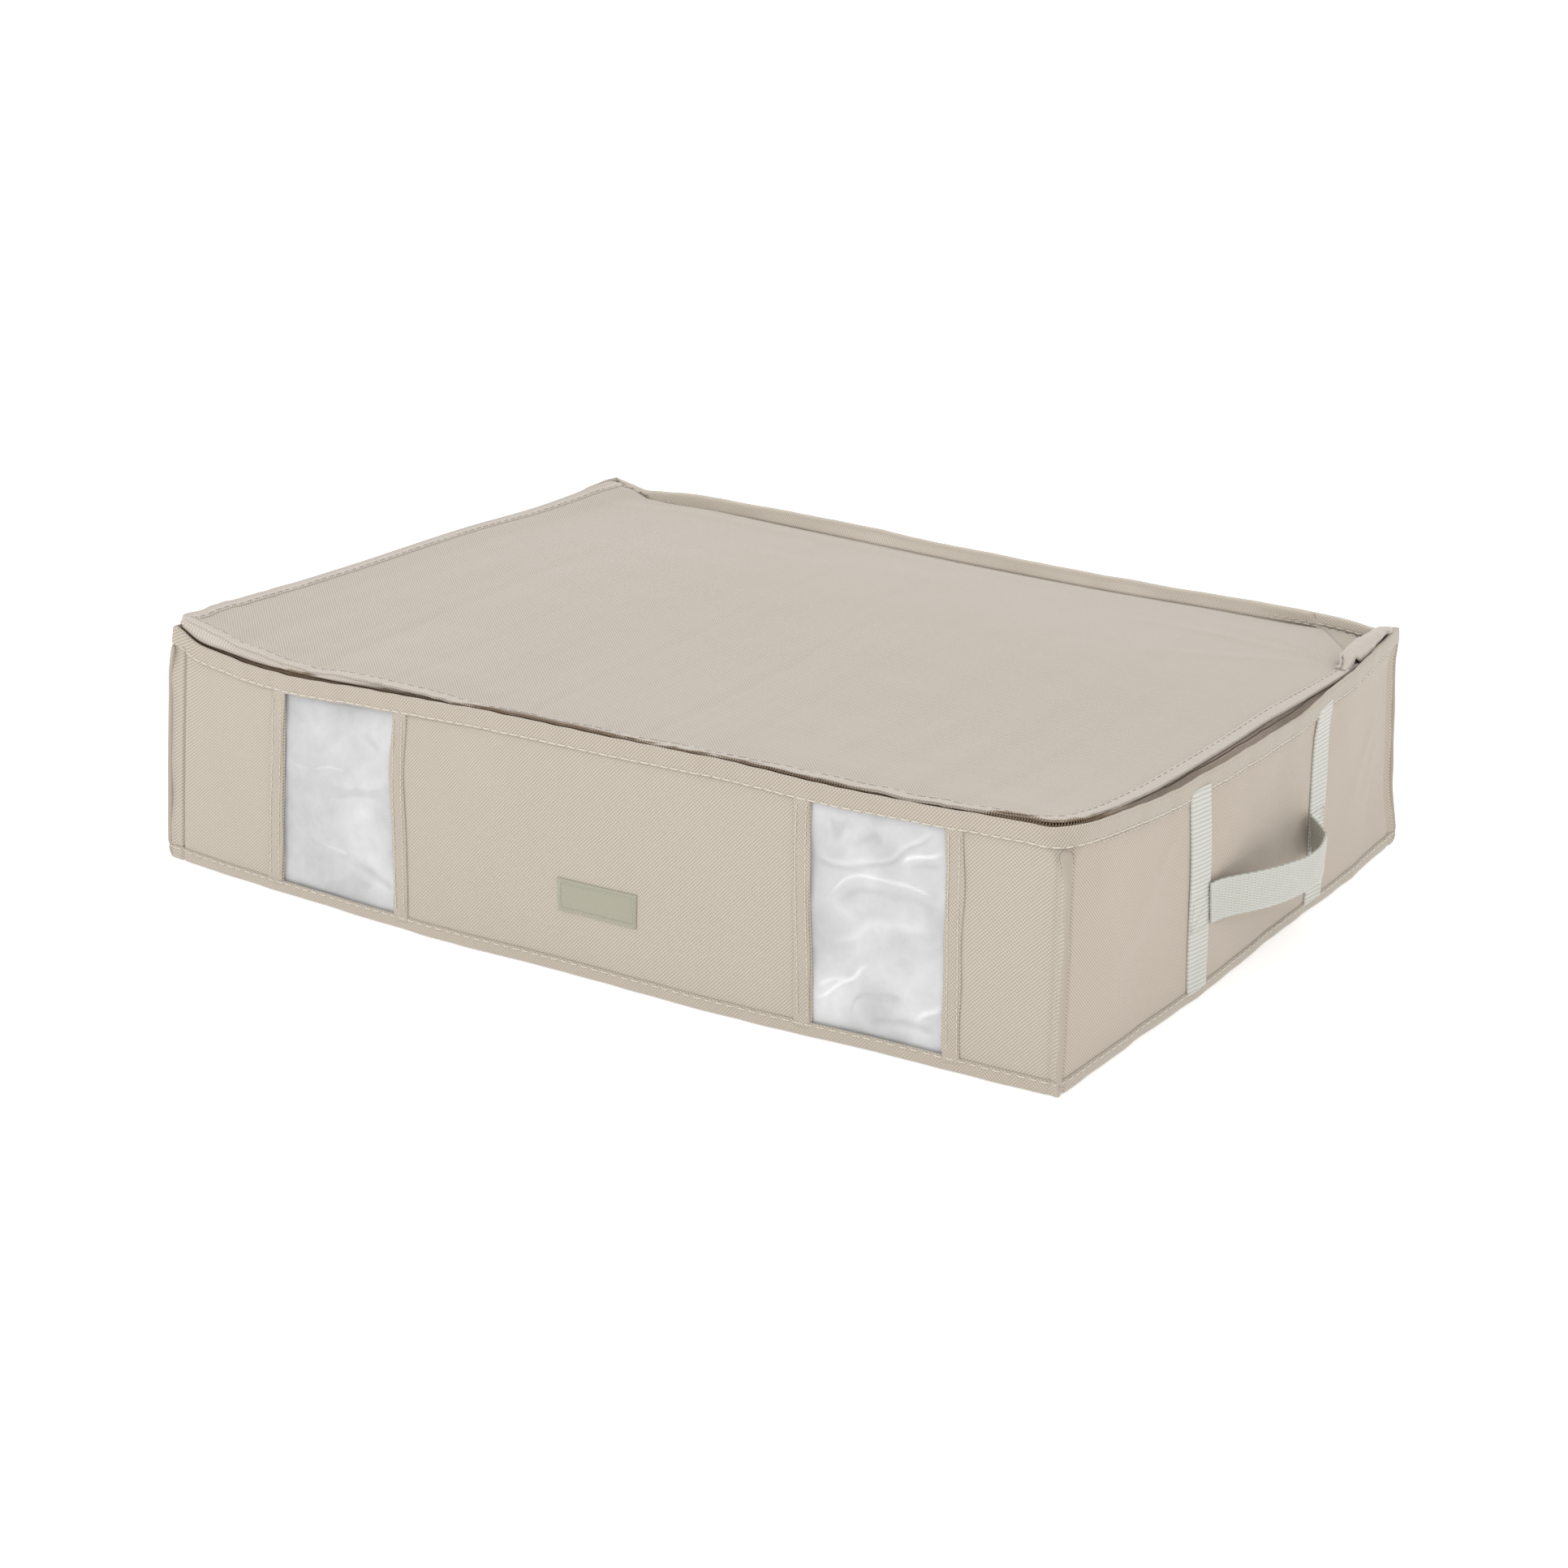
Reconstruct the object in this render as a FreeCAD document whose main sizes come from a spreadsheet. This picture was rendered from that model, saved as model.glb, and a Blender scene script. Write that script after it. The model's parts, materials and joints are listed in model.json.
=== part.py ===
"""Soft under-bed storage box: a sewn fabric case with a zipped lid, film windows, webbing
handles and an inner vacuum bag.

Frame: +X to the right along the front, +Y to the back, +Z up. The origin is on the floor
under the middle of the case. All sizes are in millimetres.
"""
import FreeCAD, Part
import Sketcher
import math
import os

doc = FreeCAD.newDocument("UnderBedBox")

# ---------------------------------------------------------------- driving dimensions
SIZES = (
    ("width", 650, "between the corner seams, along the front"),
    ("depth", 500, "between the corner seams, front to back"),
    ("rim_top", 152, "top edge of the front and side walls"),
    ("ridge_top", 156, "top edge of the back wall, where the lid is sewn on"),
    ("bow_front", 14, "how far the front wall bulges out at its middle"),
    ("bow_side", 8, "how far each side wall bulges out at its middle"),
    ("cloth", 1.2, "coated polyester cloth with its lining"),
    ("film", 0.5, "clear film"),
    ("film_drop", 1, "top edge of the window film below the rim"),
    ("gap", 0.05, "air between two layers sewn together"),
    ("band_cloth", 0.9, "folded binding cloth"),
    ("rim_band", 10.5, "height of the binding round the rim"),
    ("base_band", 9, "height of the binding round the base"),
    ("corner_seam", 6, "how far a corner seam stands out"),
    ("corner_cloth", 2.4, "thickness of a corner seam"),
    ("trim_shift", 12, "middle of the windows, to the right of the middle of the front"),
    ("window_near", 152.5, "window edge nearest the middle of the windows"),
    ("window_far", 240.5, "window edge farthest from it"),
    ("window_tape", 11, "width of the tape down each window edge"),
    ("window_lap", 8, "how far the window film reaches behind the cloth"),
    ("label_x", 18, "middle of the label from the middle of the front"),
    ("label_z", 50.5, "middle of the label above the floor"),
    ("label_width", 56, ""),
    ("label_height", 21, ""),
    ("label_cloth", 1, "thickness of the label"),
    ("webbing", 1.8, "thickness of the webbing"),
    ("strap_width", 25, "width of an upright strap"),
    ("strap_front", -87, "middle of the front strap, along the side"),
    ("strap_back", 99, "middle of the back strap, along the side"),
    ("handle_width", 29, "width of the handle webbing"),
    ("handle_top", 76, "upper edge of the handle webbing"),
    ("handle_bulge", 30, "how far the handle stands out in its middle"),
    ("handle_gap", 0.5, "between a strap and the end of the handle"),
    ("handle_root", 0.25, "ends of the handle outside the widest part of the wall"),
    ("zip_inset", 10, "zip line behind the outside of the front wall"),
    ("zip_half", 314, "zip line from the middle of the case, on each side"),
    ("zip_back", 205, "back end of the case half of the zip"),
    ("zip_lid_back", 168, "back end of the lid half of the zip"),
    ("zip_corner", 25, "corner radius of the zip line"),
    ("zip_level", 149, "underside of the zip tape"),
    ("zip_cloth", 0.6, "thickness of the zip tape"),
    ("zip_slot", 0.6, "half the slot between the two halves"),
    ("coil", 2.2, "width and height of one zip coil"),
    ("lid_inset", 4.6, "lid edge inside the zip line"),
    ("lid_band", 13.4, "width of the binding round the lid"),
    ("lid_corner", 264, "end of the lid's seam along the back, from the middle"),
    ("lid_crown", 14, "how far the lid rises to its middle"),
    ("hinge_y", 248.7, "lid fold line, from the middle of the case"),
    ("hinge_cloth", 1, "thickness of the strip that joins lid and back wall"),
    ("hinge_clear", 0.1, "air on both sides of that strip"),
    ("hinge_drop", 0.5, "top of that strip below the ridge"),
    ("tape_tail", 5, "tape that runs on past the end of its coil"),
    ("zip_tab", 22, "width of the cloth tab behind each end of the zip"),
    ("tab_start", 6, "front of the tab behind the end of the zip"),
    ("tab_clear", 0.3, "between the tab and the back wall"),
    ("stop_middle", 2.6, "middle of a zip stop outside the zip line"),
    ("stop_half", 1.8, "half the width of a zip stop"),
    ("stop_length", 3, ""),
    ("stop_rise", 0.3, "top of a zip stop above the coil"),
    ("slider_y", 188, "middle of the zip slider when the zip is closed"),
    ("slider_length", 18, ""),
    ("slider_half", 4, "half the width of the zip slider"),
    ("slider_plate", 1.2, "thickness of each plate of the slider"),
    ("slider_play", 0.2, "clearance between the slider and the zip"),
    ("bridge_length", 10, "puller bridge on top of the slider"),
    ("bridge_height", 3, ""),
    ("bridge_half", 1, "half the thickness of the bridge"),
    ("bridge_leg", 1.5, ""),
    ("post_half", 0.4, "half the thickness of the slider's post"),
    ("post_length", 3, ""),
    ("puller_length", 23, ""),
    ("puller_half", 2.6, "half the width of the puller"),
    ("puller_bar", 0.7, "radius of the puller's cross bar"),
    ("puller_arm", 1, "width of each arm of the puller"),
    ("puller_lift", 0.3, "between the slider and the puller's cross bar"),
    ("arm_reach", 1.5, "puller's arms in front of the bridge"),
    ("eye_radius", 1.3, "hole near the puller's end"),
    ("eye_inset", 4, "middle of the hole from the puller's end"),
    ("bag_inset", 8, "vacuum bag inside the outside of the case"),
    ("bag_bottom", 2, ""),
    ("bag_top", 139, ""),
    ("seal_y", -150, "middle of the bag's press seal"),
    ("seal_half", 275, "half the length of the press seal"),
    ("seal_slot", 0.2, "half the slot between the two seal tracks"),
    ("seal_track", 1.6, "thickness of each seal track"),
    ("seal_height", 6, ""),
    ("mouth_inset", 5, "end of the bag's mouth inside the end of its seal"),
    ("clip_x", 250, "middle of the seal clip when the bag is shut"),
    ("clip_length", 26, ""),
    ("clip_wall", 1.8, ""),
    ("clip_play", 0.4, "between the clip's walls and the seal"),
    ("clip_lift", 0.6, "clip's lower edge above the bag"),
    ("clip_clear", 0.3, "between the seal and the clip's top"),
    ("clip_top", 1.4, "thickness of the clip's top"),
    ("valve_x", -195, "middle of the bag's valve"),
    ("valve_z", 17, ""),
    ("valve_port", 5, "radius of the hole in the bag behind the valve"),
    ("valve_flange", 12, "radius of the valve's flange"),
    ("flange_height", 0.9, ""),
    ("valve_ring", 10, "radius of the valve's ring"),
    ("ring_height", 4, ""),
    ("valve_bore", 7.6, "radius of the hole in the ring"),
    ("valve_play", 0.08, "clearance between the ring and its cap"),
    ("cap_height", 4.4, ""),
    ("cap_floor", 2, "floor of the cap's recess above the bag"),
    ("cap_wall", 1.3, "between the cap's recess and the bore"),
    ("grip_radius", 3.4, "six-sided grip in the cap"),
    ("grip_height", 4.3, ""),
)

sheet = doc.addObject("Spreadsheet::Sheet", "Sizes")
for row, (alias, value, note) in enumerate(SIZES, start=1):
    sheet.set(f"A{row}", str(value))
    sheet.setAlias(f"A{row}", alias)
    sheet.set(f"B{row}", note)
doc.recompute()
SIZE = {alias: value for alias, value, note in SIZES}

# Expressions that several pieces share
HALF_WIDTH = "Sizes.width / 2"
HALF_DEPTH = "Sizes.depth / 2"
FRONT_RADIUS = "(Sizes.width^2 / 4 + Sizes.bow_front^2) / (2 * Sizes.bow_front)"
SIDE_RADIUS = "(Sizes.depth^2 / 4 + Sizes.bow_side^2) / (2 * Sizes.bow_side)"
FRONT_CENTRE = f"{FRONT_RADIUS} - {HALF_DEPTH} - Sizes.bow_front"
SIDE_CENTRE = f"{SIDE_RADIUS} - {HALF_WIDTH} - Sizes.bow_side"
WALL_BOTTOM = "Sizes.cloth + Sizes.gap"
OVER_BASE = "Sizes.base_band + 4 * Sizes.gap"
UNDER_RIM = "Sizes.rim_top - Sizes.rim_band - 4 * Sizes.gap"
SHIFT, WINDOW_NEAR, WINDOW_FAR = "Sizes.trim_shift", "Sizes.window_near", "Sizes.window_far"
FAR = "2000"

nodes = []


def keep(solid, name):
    """Makes a document object one of the exported pieces."""
    solid.Label = name
    nodes.append(solid)
    return solid


# ---------------------------------------------------------------- primitives
def box(name, x, y, z):
    """Box between three (low, high) pairs of expressions."""
    solid = doc.addObject("Part::Box", name)
    for size, place, (low, high) in zip(("Length", "Width", "Height"), "xyz", (x, y, z)):
        solid.setExpression(size, f"({high}) - ({low})")
        solid.setExpression(f"Placement.Base.{place}", low)
    return solid


def cylinder(name, radius, centre, z):
    """Upright cylinder."""
    solid = doc.addObject("Part::Cylinder", name)
    solid.setExpression("Radius", radius)
    solid.setExpression("Height", f"({z[1]}) - ({z[0]})")
    for place, value in zip("xyz", (centre[0], centre[1], z[0])):
        solid.setExpression(f"Placement.Base.{place}", value)
    return solid


def cut(name, base, tool):
    solid = doc.addObject("Part::Cut", name)
    solid.Base, solid.Tool = base, tool
    return solid


def common(name, *shapes):
    solid = doc.addObject("Part::MultiCommon", name)
    solid.Shapes = list(shapes)
    return solid


def fuse(name, *shapes):
    solid = doc.addObject("Part::MultiFuse", name)
    solid.Shapes = list(shapes)
    return solid


# ---------------------------------------------------------------- the case's plan shape
def outline(name, offset, z):
    """Prism of the case's plan: three bowed walls and a straight back, grown by offset."""
    front = cylinder(f"{name}_front", f"{FRONT_RADIUS} + ({offset})", ("0", FRONT_CENTRE), z)
    right = cylinder(f"{name}_right", f"{SIDE_RADIUS} + ({offset})", (f"-({SIDE_CENTRE})", "0"), z)
    left = cylinder(f"{name}_left", f"{SIDE_RADIUS} + ({offset})", (SIDE_CENTRE, "0"), z)
    back = box(f"{name}_back", (f"-{FAR}", FAR), (f"-{FAR}", f"{HALF_DEPTH} + ({offset})"), z)
    return common(name, front, right, left, back)


def ring(name, inner, outer, z):
    """Band that follows the case's plan, between two offsets from the outside of the walls."""
    return cut(name, outline(f"{name}_outer", outer, z), outline(f"{name}_inner", inner, z))


def part_of(name, whole, x, y):
    """The stretch of a ring inside a plan rectangle."""
    return common(name, whole, box(f"{name}_stretch", x, y, ("-10", "400")))


FRONT = (f"-{FAR}", f"-{HALF_DEPTH} + Sizes.cloth + Sizes.gap")
ALL = (f"-{FAR}", FAR)


def make_walls():
    wall = ring("walls", "-Sizes.cloth", "0", (WALL_BOTTOM, "Sizes.rim_top"))
    side = (f"-{HALF_DEPTH} + Sizes.cloth + 2 * Sizes.gap",
            f"{HALF_DEPTH} - Sizes.cloth - 2 * Sizes.gap")
    pieces = (
        ("front_left_panel", (f"-{FAR}", f"{SHIFT} - {WINDOW_FAR}"), FRONT),
        ("front_centre_panel", (f"{SHIFT} - {WINDOW_NEAR}", f"{SHIFT} + {WINDOW_NEAR}"), FRONT),
        ("front_right_panel", (f"{SHIFT} + {WINDOW_FAR}", FAR), FRONT),
        ("right_panel", ("300", FAR), side),
        ("left_panel", (f"-{FAR}", "-300"), side),
    )
    for name, x, y in pieces:
        keep(part_of(name, wall, x, y), name)
    keep(box("back_panel", (f"-{HALF_WIDTH}", HALF_WIDTH),
             (f"{HALF_DEPTH} - Sizes.cloth", HALF_DEPTH),
             (WALL_BOTTOM, "Sizes.ridge_top")), "back_panel")
    keep(outline("base_panel", "0", ("0", "Sizes.cloth")), "base_panel")


def make_windows():
    film = ring("films", "-Sizes.cloth - Sizes.gap - Sizes.film", "-Sizes.cloth - Sizes.gap",
                (WALL_BOTTOM, "Sizes.rim_top - Sizes.film_drop"))
    tape = ring("window_tapes", "Sizes.gap", "Sizes.gap + Sizes.band_cloth",
                (OVER_BASE, UNDER_RIM))
    near, far = WINDOW_NEAR, WINDOW_FAR
    lap, wide = "Sizes.window_lap", "Sizes.window_tape"
    spans = {
        "left_window_film": (film, f"-{far} - {lap}", f"-{near} + {lap}"),
        "right_window_film": (film, f"{near} - {lap}", f"{far} + {lap}"),
        "left_window_outer_tape": (tape, f"-{far} - {wide}", f"-{far}"),
        "left_window_inner_tape": (tape, f"-{near}", f"-{near} + {wide}"),
        "right_window_inner_tape": (tape, f"{near} - {wide}", near),
        "right_window_outer_tape": (tape, far, f"{far} + {wide}"),
    }
    for name, (whole, low, high) in spans.items():
        keep(part_of(name, whole, (f"{SHIFT} + {low}", f"{SHIFT} + {high}"), FRONT), name)


def make_bindings():
    layer = ("Sizes.gap", "Sizes.gap + Sizes.band_cloth")
    rim = ring("rim_ring", *layer, ("Sizes.rim_top - Sizes.rim_band", "Sizes.rim_top"))
    keep(part_of("rim_band", rim, ALL, (f"-{FAR}", f"{HALF_DEPTH} - 2 * Sizes.gap")), "rim_band")
    keep(ring("base_seam_band", *layer, ("0", "Sizes.base_band")), "base_seam_band")
    keep(box("back_rim_band", (f"-{HALF_WIDTH}", HALF_WIDTH),
             (f"{HALF_DEPTH} + Sizes.gap", f"{HALF_DEPTH} + Sizes.gap + Sizes.band_cloth"),
             ("Sizes.ridge_top - Sizes.rim_band", "Sizes.ridge_top")), "back_rim_band")
    for end, y_sign, first in (("front", "-1", -135), ("back", "1", 45)):
        for side, x_sign, turn in (("left", "-1", 0), ("right", "1", 90)):
            angle = first + turn if end == "front" else first + 90 - turn
            make_corner_seam(f"corner_seam_{end}_{side}", x_sign, y_sign, angle)


def make_corner_seam(name, x_sign, y_sign, angle):
    """Standing seam up one corner, pointing outwards along the corner's diagonal."""
    seam = doc.addObject("Part::Box", name)
    seam.Placement.Rotation = FreeCAD.Rotation(FreeCAD.Vector(0, 0, 1), angle)
    seam.setExpression("Length", "Sizes.corner_seam")
    seam.setExpression("Width", "Sizes.corner_cloth")
    seam.setExpression("Height", f"({UNDER_RIM}) - ({OVER_BASE})")
    # the box starts half its thickness to one side of the diagonal, just clear of the walls
    start = "(0.75 * Sizes.corner_cloth)"
    side = "(Sizes.corner_cloth / 2)"
    seam.setExpression("Placement.Base.x",
                       f"{x_sign} * {HALF_WIDTH} + {start} * cos({angle} deg) + {side} * sin({angle} deg)")
    seam.setExpression("Placement.Base.y",
                       f"{y_sign} * {HALF_DEPTH} + {start} * sin({angle} deg) - {side} * cos({angle} deg)")
    seam.setExpression("Placement.Base.z", OVER_BASE)
    keep(seam, name)


def make_label():
    layer = ring("label_ring", "Sizes.gap", "Sizes.gap + Sizes.label_cloth",
                 ("Sizes.label_z - Sizes.label_height / 2", "Sizes.label_z + Sizes.label_height / 2"))
    keep(part_of("label_patch", layer, ("Sizes.label_x - Sizes.label_width / 2",
                                        "Sizes.label_x + Sizes.label_width / 2"), FRONT), "label_patch")


# ---------------------------------------------------------------- webbing
def make_webbing():
    strap = ring("strap_ring", "Sizes.gap", "Sizes.gap + Sizes.webbing", (OVER_BASE, UNDER_RIM))
    sides = {"right": ("300", FAR), "left": (f"-{FAR}", "-300")}
    for side, x in sides.items():
        for end in ("front", "back"):
            middle = f"Sizes.strap_{end}"
            name = f"{side}_{end}_strap"
            keep(part_of(name, strap, x, (f"{middle} - Sizes.strap_width / 2",
                                          f"{middle} + Sizes.strap_width / 2")), name)
        make_handle(side, x)


def make_handle(side, x):
    """Webbing loop between the two straps of one side, bulging outwards as an arc."""
    name = f"{side}_handle"
    sign = "" if side == "right" else "-"
    first = "(Sizes.strap_front + Sizes.strap_width / 2 + Sizes.handle_gap)"
    last = "(Sizes.strap_back - Sizes.strap_width / 2 - Sizes.handle_gap)"
    half = f"(({last} - {first}) / 2)"
    root = f"({HALF_WIDTH} + Sizes.bow_side + Sizes.handle_root)"
    radius = f"(({half}^2 + Sizes.handle_bulge^2) / (2 * Sizes.handle_bulge))"
    centre = (f"{sign}({root} + Sizes.handle_bulge - {radius})", f"({first} + {last}) / 2")
    z = ("Sizes.handle_top - Sizes.handle_width", "Sizes.handle_top")
    loop = cut(f"{name}_loop", cylinder(f"{name}_outside", radius, centre, z),
               cylinder(f"{name}_inside", f"{radius} - Sizes.webbing", centre, z))
    reach = (root, FAR) if side == "right" else (f"-{FAR}", f"-{root}")
    keep(common(name, loop, box(f"{name}_reach", reach, (first, last), ("-10", "400"))), name)


# ---------------------------------------------------------------- zip and lid
def zip_prism(name, offset, z, back):
    """Prism inside the zip line, with rounded front corners, grown outwards by offset."""
    body = doc.addObject("PartDesign::Body", name)
    sketch = body.newObject("Sketcher::SketchObject", f"{name}_plan")
    plane = next(f for f in body.Origin.OriginFeatures if f.Role == "XY_Plane")
    sketch.AttachmentSupport = [(plane, "")]
    sketch.MapMode = "FlatFace"
    sketch.setExpression("AttachmentOffset.Base.z", z[0])

    half = SIZE["zip_half"]
    radius = (SIZE["width"]**2 / 4 + SIZE["bow_front"]**2) / (2 * SIZE["bow_front"])
    centre_y = radius - SIZE["depth"] / 2 - SIZE["bow_front"]
    radius -= SIZE["zip_inset"]
    front_y = centre_y - (radius**2 - half**2)**0.5
    back_y = SIZE["zip_lid_back"]
    corner = [FreeCAD.Vector(x, y, 0) for x, y in
              ((-half, back_y), (-half, front_y), (half, front_y), (half, back_y))]
    lowest = FreeCAD.Vector(0, centre_y - radius, 0)
    left = sketch.addGeometry(Part.LineSegment(corner[0], corner[1]))
    front = sketch.addGeometry(Part.Arc(corner[1], lowest, corner[2]))
    right = sketch.addGeometry(Part.LineSegment(corner[2], corner[3]))
    rear = sketch.addGeometry(Part.LineSegment(corner[3], corner[0]))
    START, END, CENTRE, ORIGIN, Y_AXIS = 1, 2, 3, -1, -2
    fix = Sketcher.Constraint
    for first, second in ((left, front), (front, right), (right, rear), (rear, left)):
        sketch.addConstraint(fix("Coincident", first, END, second, START))
    sketch.addConstraint(fix("Vertical", left))
    sketch.addConstraint(fix("Vertical", right))
    sketch.addConstraint(fix("Horizontal", rear))
    sketch.addConstraint(fix("PointOnObject", front, CENTRE, Y_AXIS))
    driven = (
        (fix("DistanceY", ORIGIN, START, front, CENTRE, centre_y), FRONT_CENTRE),
        (fix("Radius", front, radius), f"{FRONT_RADIUS} - Sizes.zip_inset + ({offset})"),
        (fix("DistanceX", ORIGIN, START, right, START, half), f"Sizes.zip_half + ({offset})"),
        (fix("DistanceX", left, START, ORIGIN, START, half), f"Sizes.zip_half + ({offset})"),
        (fix("DistanceY", ORIGIN, START, rear, START, back_y), back),
    )
    for constraint, expression in driven:
        index = sketch.addConstraint(constraint)
        sketch.setExpression(f"Constraints[{index}]", expression)

    pad = body.newObject("PartDesign::Pad", f"{name}_pad")
    pad.Profile = sketch
    pad.setExpression("Length", f"({z[1]}) - ({z[0]})")
    doc.recompute()
    upright = [f"Edge{i}" for i, edge in enumerate(pad.Shape.Edges, start=1)
               if abs(edge.BoundBox.ZLength - edge.Length) < 1e-6 and edge.CenterOfMass.y < 0]
    fillet = body.newObject("PartDesign::Fillet", f"{name}_corners")
    fillet.Base = (pad, upright)
    fillet.setExpression("Radius", f"Sizes.zip_corner + ({offset})")
    body.Tip = fillet
    return body


def zip_band(name, inner, outer, z, back):
    """Band that follows the zip line, between two offsets from it."""
    return cut(name, zip_prism(f"{name}_outer", outer, z, back),
               zip_prism(f"{name}_inner", inner, z, f"({back}) + 20"))


def make_zip():
    tape = ("Sizes.zip_level", "Sizes.zip_level + Sizes.zip_cloth")
    chain = (f"{tape[1]} + Sizes.gap", f"{tape[1]} + Sizes.gap + Sizes.coil")
    slot, coil_edge = "Sizes.zip_slot", "Sizes.zip_slot + Sizes.coil"
    ends = "Sizes.zip_back", "Sizes.zip_lid_back"

    inside = outline("case_tape_outer", "-Sizes.cloth - Sizes.film - 4 * Sizes.gap", tape)
    open_middle = cut("case_tape_sheet", inside,
                      zip_prism("case_tape_inner", slot, tape, "Sizes.zip_back + 40"))
    tail = f"{ends[0]} + Sizes.tape_tail"
    keep(part_of("zip_case_tape", open_middle, ALL, (f"-{FAR}", tail)), "zip_case_tape")
    for side, sign in (("left", "-"), ("right", "")):
        outer, inner = (f"{sign}(Sizes.zip_half + Sizes.tape_tail)",
                        f"{sign}(Sizes.zip_half + Sizes.tape_tail - Sizes.zip_tab)")
        across = (inner, outer) if side == "right" else (outer, inner)
        along = (f"{ends[0]} + Sizes.tab_start", f"{HALF_DEPTH} - Sizes.cloth - Sizes.tab_clear")
        level = ("Sizes.zip_level", "Sizes.zip_level + Sizes.band_cloth")
        keep(box(f"zip_tab_{side}", across, along, level), f"zip_tab_{side}")
    keep(zip_band("zip_case_coil", slot, coil_edge, chain, ends[0]), "zip_case_coil")
    keep(zip_band("zip_lid_coil", f"-({coil_edge})", f"-{slot}", chain, ends[1]), "zip_lid_coil")
    keep(zip_band("zip_lid_tape", "-Sizes.lid_inset - Sizes.lid_band", f"-{slot}", tape, ends[1]),
         "zip_lid_tape")
    for side, sign in (("left", "-"), ("right", "")):
        middle = f"{sign}(Sizes.zip_half + Sizes.stop_middle)"
        across = (f"{middle} - Sizes.stop_half", f"{middle} + Sizes.stop_half")
        along = ("Sizes.zip_back + Sizes.gap", "Sizes.zip_back + Sizes.gap + Sizes.stop_length")
        keep(box(f"zip_stop_{side}", across, along, (chain[0], f"{chain[1]} + Sizes.stop_rise")),
             f"zip_stop_{side}")


def make_slider():
    """Slider that runs on both coils: two plates joined by a post, lips round the coils,
    and a bridge on top that holds the puller."""
    half, play, plate = "Sizes.slider_half", "Sizes.slider_play", "Sizes.slider_plate"
    middle = "Sizes.zip_half"
    y = ("Sizes.slider_y - Sizes.slider_length / 2", "Sizes.slider_y + Sizes.slider_length / 2")
    under = f"Sizes.zip_level - {play}"
    over = f"Sizes.zip_level + Sizes.zip_cloth + Sizes.gap + Sizes.coil + {play}"
    across = (f"{middle} - {half}", f"{middle} + {half}")
    lip = f"{half} - Sizes.zip_slot - Sizes.coil - {play}"
    lip_z = (f"Sizes.zip_level + Sizes.zip_cloth + {play}", over)
    bridge_top = f"{over} + {plate} + Sizes.bridge_height"
    bridge_x = (f"{middle} - Sizes.bridge_half", f"{middle} + Sizes.bridge_half")
    bridge = ("Sizes.slider_y - Sizes.bridge_length / 2", "Sizes.slider_y + Sizes.bridge_length / 2")
    arch = cut("slider_bridge",
               box("slider_bridge_block", bridge_x, bridge, (f"{over} + {plate}", bridge_top)),
               box("slider_bridge_opening", bridge_x,
                   (f"{bridge[0]} + Sizes.bridge_leg", f"{bridge[1]} - Sizes.bridge_leg"),
                   (f"{over} + {plate}", f"{bridge_top} - {plate}")))
    keep(fuse("zip_slider",
              box("slider_top", across, y, (over, f"{over} + {plate}")),
              box("slider_bottom", across, y, (f"{under} - {plate}", under)),
              box("slider_left_lip", (across[0], f"{across[0]} + {lip}"), y, lip_z),
              box("slider_right_lip", (f"{across[1]} - ({lip})", across[1]), y, lip_z),
              box("slider_post", (f"{middle} - Sizes.post_half", f"{middle} + Sizes.post_half"),
                  (y[0], f"{y[0]} + Sizes.post_length"), (under, over)),
              arch), "zip_slider")

    bar_z = f"({over} + {plate} + Sizes.puller_bar + Sizes.puller_lift)"
    z = (f"{bar_z} - Sizes.puller_bar", f"{bar_z} + Sizes.puller_bar")
    bar = doc.addObject("Part::Cylinder", "puller_bar")
    bar.Placement.Rotation = FreeCAD.Rotation(FreeCAD.Vector(0, 1, 0), 90)
    bar.setExpression("Radius", "Sizes.puller_bar")
    bar.setExpression("Height", "2 * Sizes.puller_half")
    bar.setExpression("Placement.Base.x", f"{middle} - Sizes.puller_half")
    bar.setExpression("Placement.Base.y", "Sizes.slider_y")
    bar.setExpression("Placement.Base.z", bar_z)
    reach = "Sizes.bridge_length / 2 + Sizes.arm_reach"
    arms = [box(f"puller_{side}_arm", x, (f"Sizes.slider_y - ({reach})", "Sizes.slider_y"), z)
            for side, x in (("left", (f"{middle} - Sizes.puller_half",
                                      f"{middle} - Sizes.puller_half + Sizes.puller_arm")),
                            ("right", (f"{middle} + Sizes.puller_half - Sizes.puller_arm",
                                       f"{middle} + Sizes.puller_half")))]
    tab = box("puller_tab", (f"{middle} - Sizes.puller_half", f"{middle} + Sizes.puller_half"),
              (f"Sizes.slider_y - Sizes.puller_length", f"Sizes.slider_y - ({reach})"), z)
    eye = cylinder("puller_eye", "Sizes.eye_radius",
                   (middle, "Sizes.slider_y - Sizes.puller_length + Sizes.eye_inset"), z)
    keep(cut("zip_puller", fuse("puller_blank", bar, *arms, tab), eye), "zip_puller")


def lid_corner_cut(name, side):
    """Prism outside the slanting edge from the end of the zip to the end of the lid's back seam."""
    start = FreeCAD.Vector(side * (SIZE["zip_half"] - SIZE["lid_inset"]), SIZE["zip_lid_back"], 100)
    end = FreeCAD.Vector(side * SIZE["lid_corner"], SIZE["hinge_y"], 100)
    slant = end - start
    turn = FreeCAD.Rotation(FreeCAD.Vector(0, 0, 1), math.degrees(math.atan2(slant.y, slant.x)))
    solid = doc.addObject("Part::Box", name)
    solid.Length, solid.Width, solid.Height = 2 * slant.Length, slant.Length, 200
    outwards = FreeCAD.Vector(-slant.Length / 2, 0 if side < 0 else -slant.Length, 0)
    solid.Placement = FreeCAD.Placement(start + turn.multVec(outwards), turn)
    return solid


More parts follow.
